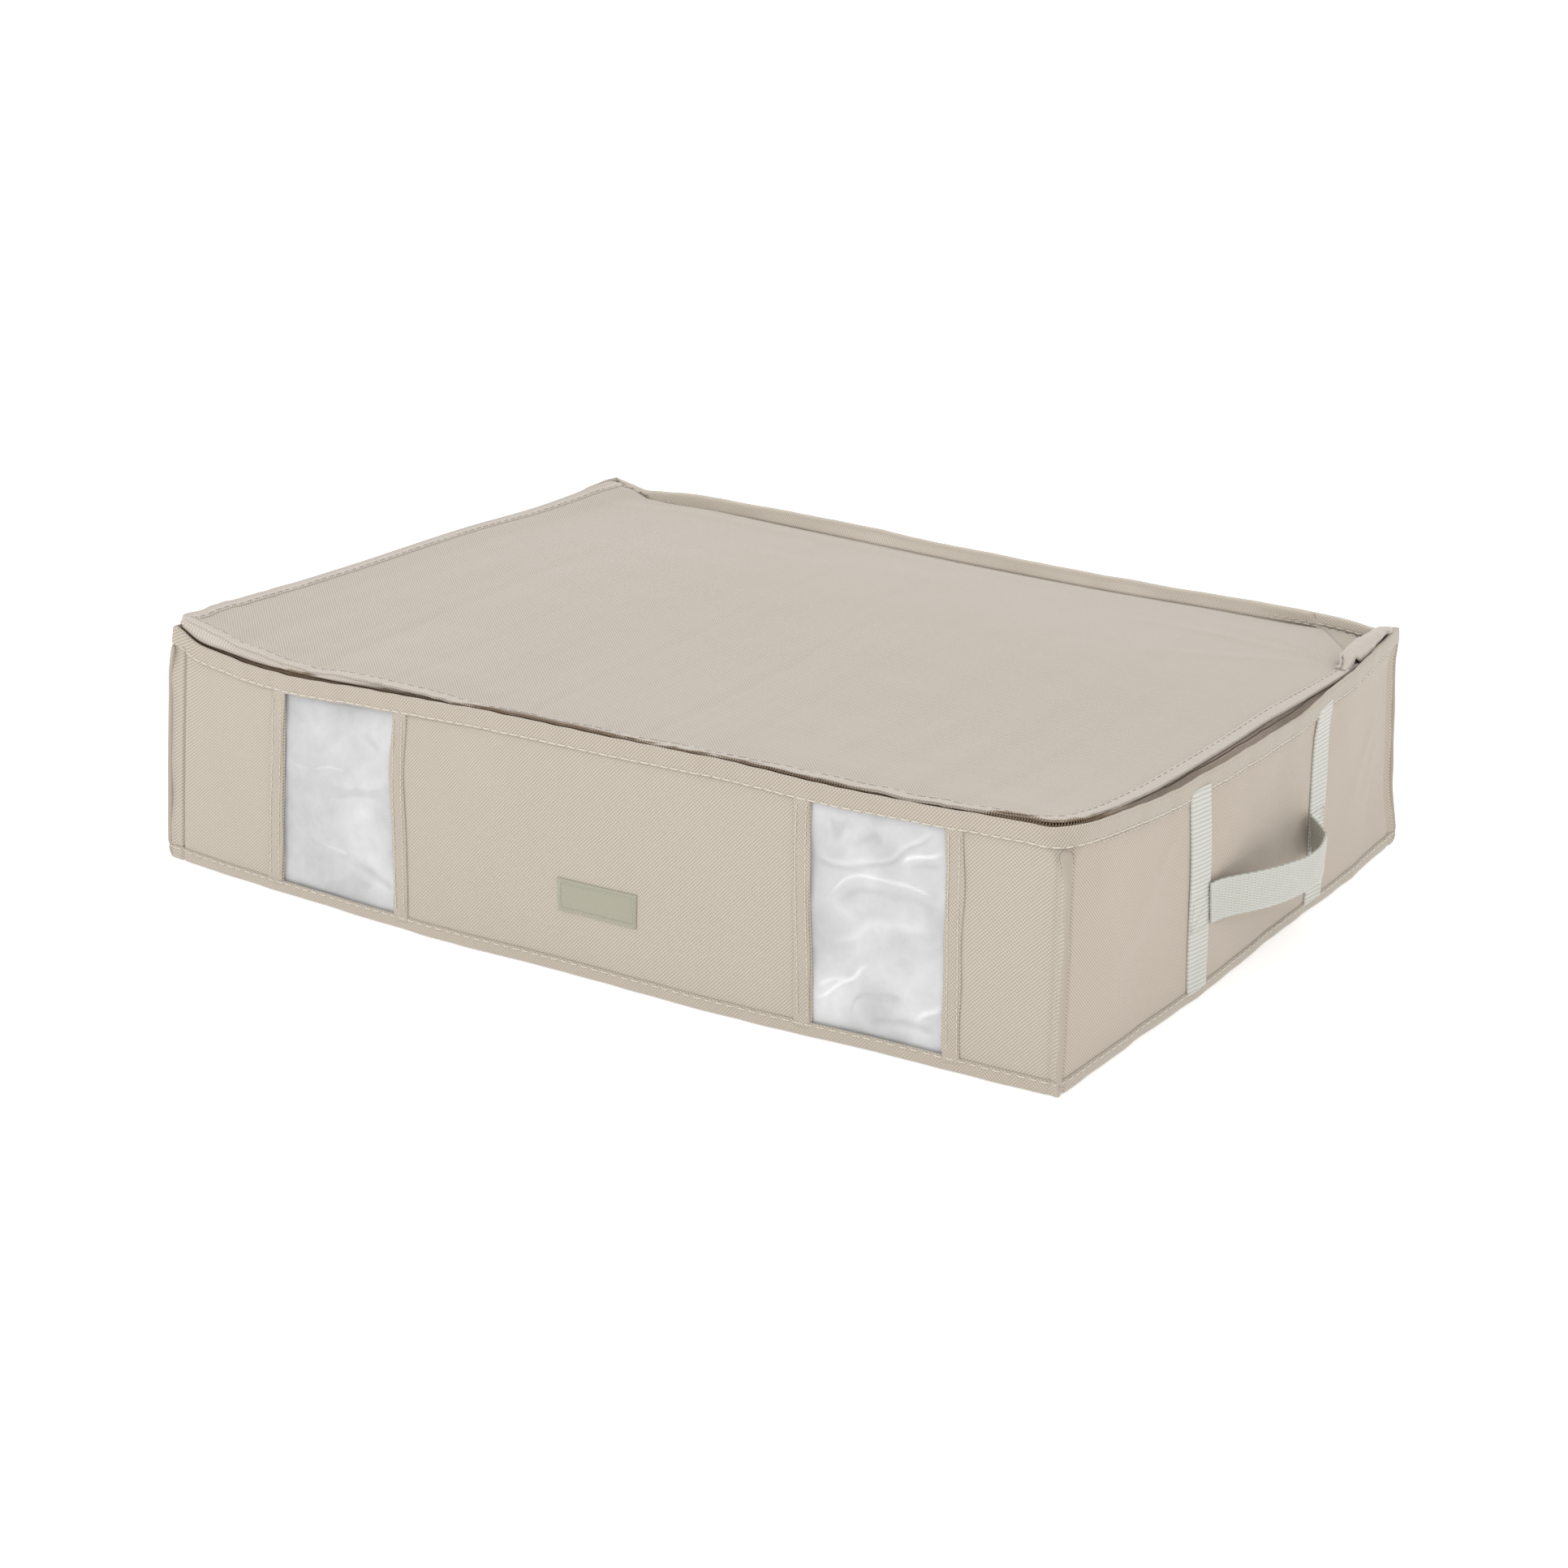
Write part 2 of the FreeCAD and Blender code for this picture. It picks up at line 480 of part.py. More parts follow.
def make_lid():
    edge = "-Sizes.lid_inset"
    facing_bottom = "Sizes.zip_level + Sizes.zip_cloth + Sizes.gap"
    facing_top = f"{facing_bottom} + Sizes.band_cloth"
    sheet_bottom = f"{facing_top} + Sizes.gap"
    front_of_hinge = "Sizes.hinge_y - Sizes.hinge_cloth - 2 * Sizes.hinge_clear"
    keep(zip_band("lid_edge_band", f"{edge} - Sizes.lid_band", edge, (facing_bottom, facing_top),
                  "Sizes.zip_lid_back"), "lid_edge_band")

    # crowned sheet: a patch with straight, level edges whose middle rises by lid_crown
    half, front = SIZE["zip_half"], SIZE["depth"] / 2 + SIZE["bow_front"]
    back = SIZE["hinge_y"]
    patch = Part.BezierSurface()
    patch.increase(2, 2)
    level = (SIZE["zip_level"] + SIZE["zip_cloth"] + SIZE["band_cloth"] + 2 * SIZE["gap"])
    for i in range(3):
        for j in range(3):
            rise = 4 * SIZE["lid_crown"] if i == j == 1 else 0
            pole = FreeCAD.Vector((i - 1) * half, -front + j * (front + back) / 2, level + rise)
            patch.setPole(i + 1, j + 1, pole)
    crown = doc.addObject("Part::Feature", "lid_crown_surface")
    crown.Shape = patch.toShape()
    slab = doc.addObject("Part::Extrusion", "lid_crown_slab")
    slab.Base = crown
    slab.DirMode = "Custom"
    slab.Dir = FreeCAD.Vector(0, 0, 1)
    slab.setExpression("LengthFwd", "Sizes.cloth")
    slab.Solid = False
    plan = zip_prism("lid_plan", edge, (f"{sheet_bottom} - 5", f"{sheet_bottom} + 60"),
                     front_of_hinge)
    corners = fuse("lid_corner_cuts",
                   lid_corner_cut("lid_left_cut", -1), lid_corner_cut("lid_right_cut", 1))
    keep(cut("lid_panel", common("lid_sheet", slab, plan), corners), "lid_panel")
    keep(box("lid_hinge_band", ("-Sizes.lid_corner", "Sizes.lid_corner"),
             ("Sizes.hinge_y - Sizes.hinge_cloth - Sizes.hinge_clear", "Sizes.hinge_y - Sizes.hinge_clear"),
             (sheet_bottom, "Sizes.ridge_top - Sizes.hinge_drop")),
         "lid_hinge_band")


# ---------------------------------------------------------------- vacuum bag
def make_bag():
    outside = outline("bag_outside", "-Sizes.bag_inset", ("Sizes.bag_bottom", "Sizes.bag_top"))
    hollow = outline("bag_hollow", "-Sizes.bag_inset - Sizes.film",
                     ("Sizes.bag_bottom + Sizes.film", "Sizes.bag_top - Sizes.film"))
    mouth_half = "(Sizes.seal_half - Sizes.mouth_inset)"
    mouth = box("bag_mouth", (f"-{mouth_half}", mouth_half),
                ("Sizes.seal_y - Sizes.seal_slot", "Sizes.seal_y + Sizes.seal_slot"),
                ("Sizes.bag_top - 2 * Sizes.film", "Sizes.bag_top + 1"))
    port = valve_cylinder("bag_port", "Sizes.valve_port", "-3 * Sizes.film", "Sizes.film")
    openings = fuse("bag_openings", hollow, mouth, port)
    keep(cut("vacuum_bag", outside, openings), "vacuum_bag")

    x = ("-Sizes.seal_half", "Sizes.seal_half")
    z = ("Sizes.bag_top + Sizes.gap", "Sizes.bag_top + Sizes.seal_height")
    slot, thick = "Sizes.seal_slot", "Sizes.seal_track"
    keep(box("bag_seal_front", x, (f"Sizes.seal_y - {slot} - {thick}", f"Sizes.seal_y - {slot}"), z),
         "bag_seal_front")
    keep(box("bag_seal_back", x, (f"Sizes.seal_y + {slot}", f"Sizes.seal_y + {slot} + {thick}"), z),
         "bag_seal_back")

    long = ("Sizes.clip_x - Sizes.clip_length / 2", "Sizes.clip_x + Sizes.clip_length / 2")
    inner, wall = f"({slot} + {thick} + Sizes.clip_play)", "Sizes.clip_wall"
    top = "Sizes.bag_top + Sizes.seal_height + Sizes.clip_clear"
    keep(cut("bag_clip",
             box("clip_block", long,
                 (f"Sizes.seal_y - {inner} - {wall}", f"Sizes.seal_y + {inner} + {wall}"),
                 ("Sizes.bag_top + Sizes.clip_lift", f"{top} + Sizes.clip_top")),
             box("clip_channel", long, (f"Sizes.seal_y - {inner}", f"Sizes.seal_y + {inner}"),
                 ("Sizes.bag_top", top))), "bag_clip")


def on_valve(solid, near, far):
    """Stands a primitive on the valve's axis, between two distances out from the bag's front."""
    turn = f"asin(Sizes.valve_x / ({FRONT_RADIUS}))"
    reach = f"({FRONT_RADIUS} - Sizes.bag_inset + ({near}))"
    solid.setExpression("Height", f"({far}) - ({near})")
    solid.setExpression("Placement.Base.x", f"{reach} * sin({turn})")
    solid.setExpression("Placement.Base.y", f"{FRONT_CENTRE} - {reach} * cos({turn})")
    solid.setExpression("Placement.Base.z", "Sizes.valve_z")
    radius = (SIZE["width"]**2 / 4 + SIZE["bow_front"]**2) / (2 * SIZE["bow_front"])
    lean = math.degrees(math.asin(SIZE["valve_x"] / radius))
    outwards = FreeCAD.Rotation(FreeCAD.Vector(1, 0, 0), 90)
    solid.Placement.Rotation = FreeCAD.Rotation(FreeCAD.Vector(0, 0, 1), lean).multiply(outwards)
    return solid


def valve_cylinder(name, radius, near, far):
    solid = doc.addObject("Part::Cylinder", name)
    solid.setExpression("Radius", radius)
    return on_valve(solid, near, far)


def valve_hexagon(name, radius, near, far):
    """Six-sided grip on the valve's axis."""
    solid = doc.addObject("Part::Prism", name)
    solid.Polygon = 6
    solid.setExpression("Circumradius", radius)
    return on_valve(solid, near, far)


def make_valve():
    seat, through = "2 * Sizes.gap", "Sizes.cap_height + 1"
    blank = fuse("valve_blank",
                 valve_cylinder("valve_flange", "Sizes.valve_flange", seat, "Sizes.flange_height"),
                 valve_cylinder("valve_ring", "Sizes.valve_ring", seat, "Sizes.ring_height"))
    keep(cut("valve_body", blank, valve_cylinder("valve_bore", "Sizes.valve_bore", "-1", through)),
         "valve_body")
    plug = valve_cylinder("cap_plug", "Sizes.valve_bore - Sizes.valve_play", seat, "Sizes.cap_height")
    recess = valve_cylinder("cap_recess", "Sizes.valve_bore - Sizes.cap_wall", "Sizes.cap_floor", through)
    grip = valve_hexagon("cap_grip", "Sizes.grip_radius", seat, "Sizes.grip_height")
    keep(fuse("valve_cap", cut("cap_cup", plug, recess), grip), "valve_cap")


# ---------------------------------------------------------------- build, check, write
make_walls()
make_windows()
make_bindings()
make_label()
make_webbing()
make_zip()
make_slider()
make_lid()
make_bag()
make_valve()
doc.recompute()

failed = [o.Name for o in doc.Objects if "Invalid" in o.State or "Error" in o.State]
if failed:
    raise RuntimeError(f"these objects did not build: {failed}")
for node in nodes:
    shape = node.Shape
    if shape.isNull() or not shape.isValid() or not shape.Solids:
        raise RuntimeError(f"{node.Label} has no valid solid")

os.makedirs("parts", exist_ok=True)
for node in nodes:
    node.Shape.exportStep(f"parts/{node.Label}.step")
print(len(nodes), "nodes written")
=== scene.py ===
"""The looks of a soft sided under bed box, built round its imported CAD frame.

Lengths are in millimetres until make_mesh turns them into metres. A place on the walls is
given by s, the way round the box seen from above (left, front, right, back), and h, the
share of the wall's own height, so that every trim follows the soft wall it is sewn to.
"""
import json
import math
import bpy
import numpy as np
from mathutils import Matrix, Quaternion, Vector, noise

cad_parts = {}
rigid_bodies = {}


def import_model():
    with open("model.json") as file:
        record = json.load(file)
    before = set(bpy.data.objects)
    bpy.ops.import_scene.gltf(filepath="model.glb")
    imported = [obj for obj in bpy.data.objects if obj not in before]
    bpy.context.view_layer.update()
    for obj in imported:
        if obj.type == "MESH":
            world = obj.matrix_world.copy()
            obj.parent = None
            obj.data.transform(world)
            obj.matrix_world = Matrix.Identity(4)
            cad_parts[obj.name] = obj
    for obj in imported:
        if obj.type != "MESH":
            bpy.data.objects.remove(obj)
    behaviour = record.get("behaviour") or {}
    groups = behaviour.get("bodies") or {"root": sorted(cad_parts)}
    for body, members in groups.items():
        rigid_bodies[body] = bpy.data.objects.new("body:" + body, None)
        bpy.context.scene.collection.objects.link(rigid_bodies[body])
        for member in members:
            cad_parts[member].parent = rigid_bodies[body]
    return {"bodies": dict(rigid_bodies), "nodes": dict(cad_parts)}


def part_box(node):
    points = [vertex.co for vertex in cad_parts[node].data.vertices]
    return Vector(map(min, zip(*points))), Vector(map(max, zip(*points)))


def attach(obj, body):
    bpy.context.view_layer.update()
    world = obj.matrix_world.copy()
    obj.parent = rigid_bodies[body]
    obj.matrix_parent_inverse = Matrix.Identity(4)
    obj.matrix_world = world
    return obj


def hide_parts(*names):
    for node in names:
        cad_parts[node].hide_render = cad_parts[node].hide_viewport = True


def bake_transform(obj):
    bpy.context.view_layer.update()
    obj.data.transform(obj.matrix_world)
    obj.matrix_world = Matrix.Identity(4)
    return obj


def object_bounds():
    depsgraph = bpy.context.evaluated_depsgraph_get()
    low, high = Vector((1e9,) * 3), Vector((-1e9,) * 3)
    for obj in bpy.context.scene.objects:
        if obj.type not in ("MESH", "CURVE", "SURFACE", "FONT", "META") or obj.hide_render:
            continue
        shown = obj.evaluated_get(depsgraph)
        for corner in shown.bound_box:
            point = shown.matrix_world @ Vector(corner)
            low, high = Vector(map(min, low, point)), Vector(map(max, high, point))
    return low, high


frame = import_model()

FRAME_OBJECTS = set(frame["nodes"].values()) | set(frame["bodies"].values())
for stray in [o for o in bpy.data.objects if o not in FRAME_OBJECTS]:
    bpy.data.objects.remove(stray)
CAD_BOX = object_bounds()
MM = 0.001


# ---------------------------------------------------------------- sizes from the CAD nodes
def box_mm(node):
    low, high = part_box(node)
    return np.array(low) / MM, np.array(high) / MM


HALF_W, HALF_D = box_mm("back_panel")[1][:2]
RIM = box_mm("front_centre_panel")[1][2]
BAND = RIM - box_mm("rim_band")[0][2]
BASE_BAND = box_mm("base_seam_band")[1][2]
CLOTH = 1.2
BINDING_CLOTH = 0.55
LEFT, FRONT, RIGHT, BACK = range(4)
LENGTHS = np.array([2 * HALF_D, 2 * HALF_W, 2 * HALF_D, 2 * HALF_W])
STARTS = np.concatenate([[0.0], np.cumsum(LENGTHS)[:-1]])
ROUND = LENGTHS.sum()
START_XY = np.array([(-HALF_W, HALF_D), (-HALF_W, -HALF_D), (HALF_W, -HALF_D), (HALF_W, HALF_D)])
ALONG = np.array([(0, -1), (1, 0), (0, 1), (-1, 0)], float)
OUTWARD = np.array([(-1, 0), (0, -1), (1, 0), (0, 1)], float)


def s_at(side, coordinate):
    """The way round the box at x (front, back) or y (left, right)."""
    axis = 0 if side in (FRONT, BACK) else 1
    return STARTS[side] + (coordinate - START_XY[side][axis]) * ALONG[side][axis]


# ---------------------------------------------------------------- small numeric helpers
def curve_through(points, x):
    """A smooth curve through (x, y) points, level beyond the first and last."""
    px, py = np.array(points, float).T
    slope = np.gradient(py, px)
    x = np.clip(x, px[0], px[-1])
    i = np.clip(np.searchsorted(px, x) - 1, 0, len(px) - 2)
    w = px[i + 1] - px[i]
    t = (x - px[i]) / w
    a, b = slope[i] * w, slope[i + 1] * w
    c = py[i + 1] - py[i]
    return py[i] + t * (a + t * ((3 * c - 2 * a - b) + t * (a + b - 2 * c)))


def unit(v):
    return v / np.maximum(np.linalg.norm(v, axis=-1, keepdims=True), 1e-9)


def smoothstep(low, high, x):
    t = np.clip((x - low) / (high - low), 0, 1)
    return t * t * (3 - 2 * t)


def ripple(u, v, wave, seed, terms=7):
    """Soft seeded noise of about unit size with the given wavelength."""
    rng = np.random.default_rng(seed)
    total = 0
    for _ in range(terms):
        angle, phase = rng.uniform(0, 2 * math.pi, 2)
        k = 2 * math.pi / (wave * rng.uniform(0.7, 1.5))
        total = total + np.sin(k * (u * math.cos(angle) + v * math.sin(angle)) + phase)
    return total / math.sqrt(terms)


def steps(a, b, step):
    return np.linspace(a, b, max(2, int(round(abs(b - a) / step)) + 1))


def dense_ends(a, b, step, fine=1.2, reach=16):
    """Values from a to b, closer together near both ends."""
    near = np.arange(0, reach, fine)
    return np.concatenate([a + near, steps(a + reach, b - reach, step), (b - near)[::-1]])


# ---------------------------------------------------------------- the soft walls
# Height of the walls' top edge at places along each side: y (left, right) or x (front, back), z.
RIM_HEIGHTS = {
    LEFT: [(250, 157.5), (238, 158), (218, 156.5), (180, 151), (100, 148), (0, 147), (-100, 148),
           (-200, 151.5), (-236, 155.5)],
    FRONT: [(-325, 157), (-307, 149), (-282, 146), (-257, 144), (-222, 144), (-165, 146.5), (-105, 149.5),
            (-60, 152.5), (-12, 153.5), (35, 153.5), (125, 155.3), (184, 154), (220, 154), (258, 155),
            (285, 156.5), (303, 157), (316, 156)],
    RIGHT: [(-236, 156.5), (-204, 154), (-162, 149.5), (-139, 147.6), (-104, 147), (-75, 147.5),
            (-8, 147.5), (16, 146.5), (36, 144.7), (51, 144.5), (67, 145.5), (84, 147.3), (121, 149),
            (160, 150), (185, 151), (210, 151), (233, 152)],
    BACK: [(325, 153), (310, 149.6), (296, 151), (261, 152.6), (223, 152), (183, 151), (108, 150),
           (70, 150), (9, 151), (-31, 151), (-133, 154), (-219, 155), (-253, 155), (-288, 152),
           (-299, 151.3), (-310, 154), (-325, 157)]}
RIM_TABLE = [(s_at(side, place), z) for side, heights in RIM_HEIGHTS.items() for place, z in heights]


def rim_z(s):
    """Height of the walls' top edge."""
    return curve_through(RIM_TABLE, np.mod(s, ROUND + 1e-9))


TOP_BULGE = np.array([6.0, 9.0, 10.5, 5.0])
BOTTOM_BULGE = np.array([5.0, 14.0, 3.5, 5.0])
BELLY = np.array([2.5, 2.0, 1.5, 4.0])
BOTTOM_SKEW = np.array([0.0, -4.0, 0.0, 0.0])
CORNER_TOP = np.array([(3, -1), (2, 1), (-2, 1), (-9, -2)], float)
CORNER_BOTTOM = np.array([(0, 0), (-1, -5), (1, 0), (0, 0)], float)
CORNER_NECK = np.array([(0, 0), (0, 0), (0, 0), (-4.2, -1)], float)
RIDGE_HEIGHT = np.array([3.0, 2.2, 2.4, 2.6])
TOP_ROUND = np.array([6.0, 5.0, 24.0, 6.0])
VALLEY_DEPTH = np.array([(0.8, 1.0), (2.6, 0.8), (1.7, 1.0), (0.9, 0.8)])
VALLEY_PLACE = np.array([(7.0, 7.0), (9.5, 5.5), (5.0, 7.0), (7.0, 7.0)])
VALLEY_WIDTH = np.array([(2.4, 2.2), (1.0, 1.6), (1.2, 2.6), (2.4, 2.4)])


def crease(x, y, start, end, height, width):
    """A soft ridge from start that dies away towards end."""
    a, b = np.array(start, float), np.array(end, float)
    d = b - a
    t = ((x - a[0]) * d[0] + (y - a[1]) * d[1]) / (d @ d)
    across = ((x - a[0]) * d[1] - (y - a[1]) * d[0]) / math.hypot(*d)
    spread = width * (0.35 + 0.9 * np.clip(t, 0, 1))
    return height * np.exp(-((across / spread) ** 2)) * smoothstep(-0.06, 0.1, t) * smoothstep(1.1, 0.4, t)


# Soft folds of the side walls: from and to (y, z), height, width.
SIDE_FOLDS = [((238, 132), (150, 40), 0.9, 5), ((240, 118), (178, 22), 0.8, 5),
              ((236, 96), (205, 14), 0.7, 4), ((120, 138), (190, 60), 0.6, 6),
              ((-64, 126), (60, 40), 0.8, 8), ((-60, 92), (84, 108), 0.7, 7),
              ((-112, 128), (-200, 40), 0.6, 9), ((84, 96), (20, 30), 0.7, 6)]
FRONT_SWAY_LOW = [(-325, 0), (-240, 2.6), (-152, 8.7), (16, 4), (152, 5.2), (240, 2), (325, 0)]
FRONT_SWAY_TOP = [(-325, 0), (-240, 1.9), (-152, -1), (16, -0.5), (152, 0), (240, -3.7), (325, 0)]


def wall(s, h, out=0.0):
    """Points on the walls: s round the box, h up the wall, out beyond the cloth's face."""
    s, h, out = np.broadcast_arrays(np.asarray(s, float), np.asarray(h, float), np.asarray(out, float))
    s = np.mod(s, ROUND + 1e-9)
    side = np.clip(np.searchsorted(STARTS, s, side="right") - 1, 0, 3)
    run = s - STARTS[side]
    length = LENGTHS[side]
    hc = np.clip(h, 0, 1)
    low, top = curve_through(FRONT_SWAY_LOW, run - HALF_W), curve_through(FRONT_SWAY_TOP, run - HALF_W)
    run = run + np.where(side == FRONT, low + (top - low) * hc, 0)
    u = 2 * run / length - 1
    xy = START_XY[side] + ALONG[side] * run[..., None]
    last = u > 0
    d = np.where(last, length - run, run)
    corner = np.where(last, side + 1, side) % 4
    other = np.where(last, side + 1, side - 1) % 4
    share = 0.5 * (1 - smoothstep(0, 9, d))[..., None]
    normal = OUTWARD[side] * (1 - share) + OUTWARD[other] * share
    normal /= np.linalg.norm(normal, axis=-1, keepdims=True)
    radius = np.maximum(TOP_ROUND[corner] * smoothstep(0.8, 1.0, np.clip(h, 0, 1)), 0.01)
    slant = math.pi / 4 * (1 - np.clip(d / radius, 0, 1))
    inward = ALONG[side] * np.where(last, -1, 1)[..., None]
    shift = (radius * (1 - np.sin(slant)) - d)[..., None] * inward
    shift = shift - (radius * (1 - np.cos(slant)))[..., None] * OUTWARD[side]
    arc = np.cos(slant)[..., None] * OUTWARD[side] - np.sin(slant)[..., None] * inward
    bent = (d < radius)[..., None]
    xy = xy + np.where(bent, shift, 0)
    round_share = smoothstep(0.86, 0.99, np.clip(h, 0, 1))[..., None] * (TOP_ROUND[corner] > 10)[..., None]
    arc = np.where(bent, arc, OUTWARD[side])
    normal = unit(normal * (1 - round_share) + arc * round_share)
    top = TOP_BULGE[side]
    bottom = BOTTOM_BULGE[side] + BOTTOM_SKEW[side] * u
    bulge = (1 - u * u) * (bottom + (top - bottom) * hc + BELLY[side] * np.sin(math.pi * hc))
    z = h * rim_z(s)
    inner = smoothstep(0, 60, d)
    soft = 1.1 * ripple(s, z, 150, 3) + 0.35 * ripple(s, z, 46, 4) * smoothstep(0, 0.25, hc)
    pucker = 0.5 * ripple(s, 0 * z, 22, 5) * np.exp(-((1 - hc) / 0.1) ** 2)
    hem_pucker = 0.35 * ripple(s, 0 * z, 30, 6) * np.exp(-(hc / 0.09) ** 2)
    bulge = bulge + inner * (soft + pucker + hem_pucker)
    y = np.where(side == RIGHT, run - HALF_D, HALF_D - run)
    folds = sum(crease(y, z, *fold) for fold in SIDE_FOLDS)
    bulge = bulge + np.where((side == RIGHT) | (side == LEFT), inner * folds * smoothstep(0.97, 0.86, hc), 0)
    end = last.astype(int)
    fades = (TOP_ROUND[corner] > 10) * smoothstep(0.9, 0.97, hc)
    tip = RIDGE_HEIGHT[corner] * np.exp(-(d / 2.4) ** 2) * (1 - fades) * (0.3 + 0.7 * smoothstep(0, 0.07, hc))
    groove = np.exp(-(((d - VALLEY_PLACE[side, end]) / VALLEY_WIDTH[side, end]) ** 2))
    valley = -VALLEY_DEPTH[side, end] * groove * smoothstep(0.97, 0.9, hc)
    near = (1 - u) / 2
    far = (1 + u) / 2
    first, second = side, (side + 1) % 4
    lean_top = CORNER_TOP[first] * near[..., None] ** 2 + CORNER_TOP[second] * far[..., None] ** 2
    lean_low = CORNER_BOTTOM[first] * near[..., None] ** 2 + CORNER_BOTTOM[second] * far[..., None] ** 2
    lean = lean_low + (lean_top - lean_low) * hc[..., None] ** 1.3
    neck = (smoothstep(0.02, 0.3, hc) * smoothstep(0.98, 0.82, hc))[..., None]
    lean_neck = CORNER_NECK[first] * near[..., None] ** 3 + CORNER_NECK[second] * far[..., None] ** 3
    lean = lean + neck * lean_neck
    xy = xy + lean + normal * (bulge + tip + valley + out)[..., None]
    return np.concatenate([xy, z[..., None]], axis=-1)


# ---------------------------------------------------------------- meshes
def grid_normals(p):
    return unit(np.cross(np.gradient(p, axis=0), np.gradient(p, axis=1)))


class Build:
    """Collects closed surfaces into one mesh."""

    def __init__(self):
        self.verts, self.faces, self.uvs, self.tints, self.count = [], [], [], [], 0

    def add(self, verts, faces, uvs=None, tint=None):
        verts = np.asarray(verts, float).reshape(-1, 3)
        self.verts.append(verts)
        self.tints.append(np.zeros(len(verts)) if tint is None else np.asarray(tint, float).ravel())
        self.faces.extend([tuple(i + self.count for i in f) for f in faces])
        self.uvs.append(np.zeros((len(verts), 2)) if uvs is None else np.asarray(uvs, float).reshape(-1, 2))
        self.count += len(verts)

    def shell(self, p, thickness, uv=None, tint=None):
        """A closed sheet whose outer face is the grid p."""
        self.between(p, p - grid_normals(p) * thickness, uv, tint)

    def between(self, outer, inner, uv=None, tint=None):
        """A closed sheet between two grids of points."""
        uvs = None if uv is None else np.concatenate([uv.reshape(-1, 2)] * 2)
        tints = None if tint is None else np.concatenate([tint.ravel()] * 2)
        verts = np.concatenate([outer.reshape(-1, 3), inner.reshape(-1, 3)])
        self.add(verts, closed_faces(*outer.shape[:2]), uvs, tints)

    def tube(self, path, a, b=None, up=(0, 0, 1), sides=6, loop=False):
        """A closed tube along path; a lies along the sideways direction and b along up."""
        path = np.asarray(path, float)
        n = len(path)
        a = np.broadcast_to(np.asarray(a, float), n)
        b = a if b is None else np.broadcast_to(np.asarray(b, float), n)
        if loop:
            t = unit(np.roll(path, -1, 0) - np.roll(path, 1, 0))
        else:
            t = unit(np.gradient(path, axis=0))
        side = unit(np.cross(t, np.broadcast_to(np.asarray(up, float), path.shape)))
        lift = np.cross(side, t)
        angle = np.linspace(0, 2 * math.pi, sides, endpoint=False)
        ring = (path[:, None] + side[:, None] * (a[:, None] * np.cos(angle))[..., None]
                + lift[:, None] * (b[:, None] * np.sin(angle))[..., None])
        faces = []
        rows = n if loop else n - 1
        for i in range(rows):
            j = (i + 1) % n
            for k in range(sides):
                q = (k + 1) % sides
                faces.append((i * sides + k, i * sides + q, j * sides + q, j * sides + k))
        if not loop:
            faces.append(tuple(range(sides))[::-1])
            faces.append(tuple((n - 1) * sides + k for k in range(sides)))
        self.add(ring, faces)

    def stitch(self, start, end, outward, thick=0.5, proud=0.45):
        """One thread stitch that dips into the cloth at both ends."""
        start, end, outward = (np.asarray(v, float) for v in (start, end, outward))
        share = np.array([0.0, 0.14, 0.5, 0.86, 1.0])[:, None]
        height = np.array([-0.5, 0.5, 0.9, 0.5, -0.5])[:, None] * proud
        path = start + (end - start) * share + outward * height
        self.tube(path, np.array([0.5, 1, 1, 1, 0.5]) * thick, up=outward, sides=5)

    def row(self, path, outward, length=5.6, pitch=7.2, thick=0.5, seed=1):
        """A row of stitches along a dense path."""
        rng = np.random.default_rng(seed)
        gaps = np.linalg.norm(np.diff(path, axis=0), axis=1)
        along = np.concatenate([[0], np.cumsum(gaps)])

        def at(value, data):
            return np.array([np.interp(value, along, data[:, k]) for k in range(3)])
        place = pitch * 0.4
        while place + length < along[-1]:
            size = length * rng.uniform(0.88, 1.1)
            outside = unit(at(place + size / 2, outward))
            self.stitch(at(place, path), at(place + size, path), outside, thick)
            place += pitch * rng.uniform(0.94, 1.06)

    def make(self, name, material, smooth=True):
        mesh = bpy.data.meshes.new(name)
        verts = np.concatenate(self.verts) * MM
        mesh.from_pydata(verts.tolist(), [], self.faces)
        layer = mesh.uv_layers.new(name="UVMap")
        uvs = np.concatenate(self.uvs) * MM
        loops = np.zeros(len(mesh.loops), np.int32)
        mesh.loops.foreach_get("vertex_index", loops)
        layer.data.foreach_set("uv", uvs[loops].astype(np.float32).ravel())
        shade = mesh.attributes.new("crease", "FLOAT", "POINT")
        shade.data.foreach_set("value", np.concatenate(self.tints).astype(np.float32))
        mesh.polygons.foreach_set("use_smooth", [smooth] * len(mesh.polygons))
        mesh.materials.append(material)
        mesh.update()
        obj = bpy.data.objects.new(name, mesh)
        bpy.context.scene.collection.objects.link(obj)
        return obj


def closed_faces(rows, cols):
    """Faces of two grids of points, outer then inner, joined round their border."""
    index = np.arange(rows * cols).reshape(rows, cols)
    a, b, c, d = index[:-1, :-1], index[1:, :-1], index[1:, 1:], index[:-1, 1:]
    outer = np.stack([a, b, c, d], -1).reshape(-1, 4)
    ring = np.concatenate([index[:, 0], index[-1, 1:], index[-2::-1, -1], index[0, -2:0:-1]])
    after = np.roll(ring, -1)
    border = np.stack([after, ring, ring + rows * cols, after + rows * cols], -1)
    return np.concatenate([outer, outer[:, ::-1] + rows * cols, border]).tolist()


def disc_faces(rows, cols):
    """Faces of closed rings that shrink to one middle point, which comes after them."""
    middle = rows * cols
    faces = [(i * cols + j, i * cols + (j + 1) % cols, (i + 1) * cols + (j + 1) % cols, (i + 1) * cols + j)
             for i in range(rows - 1) for j in range(cols)]
    return faces + [(middle - cols + j, middle - cols + (j + 1) % cols, middle) for j in range(cols)]


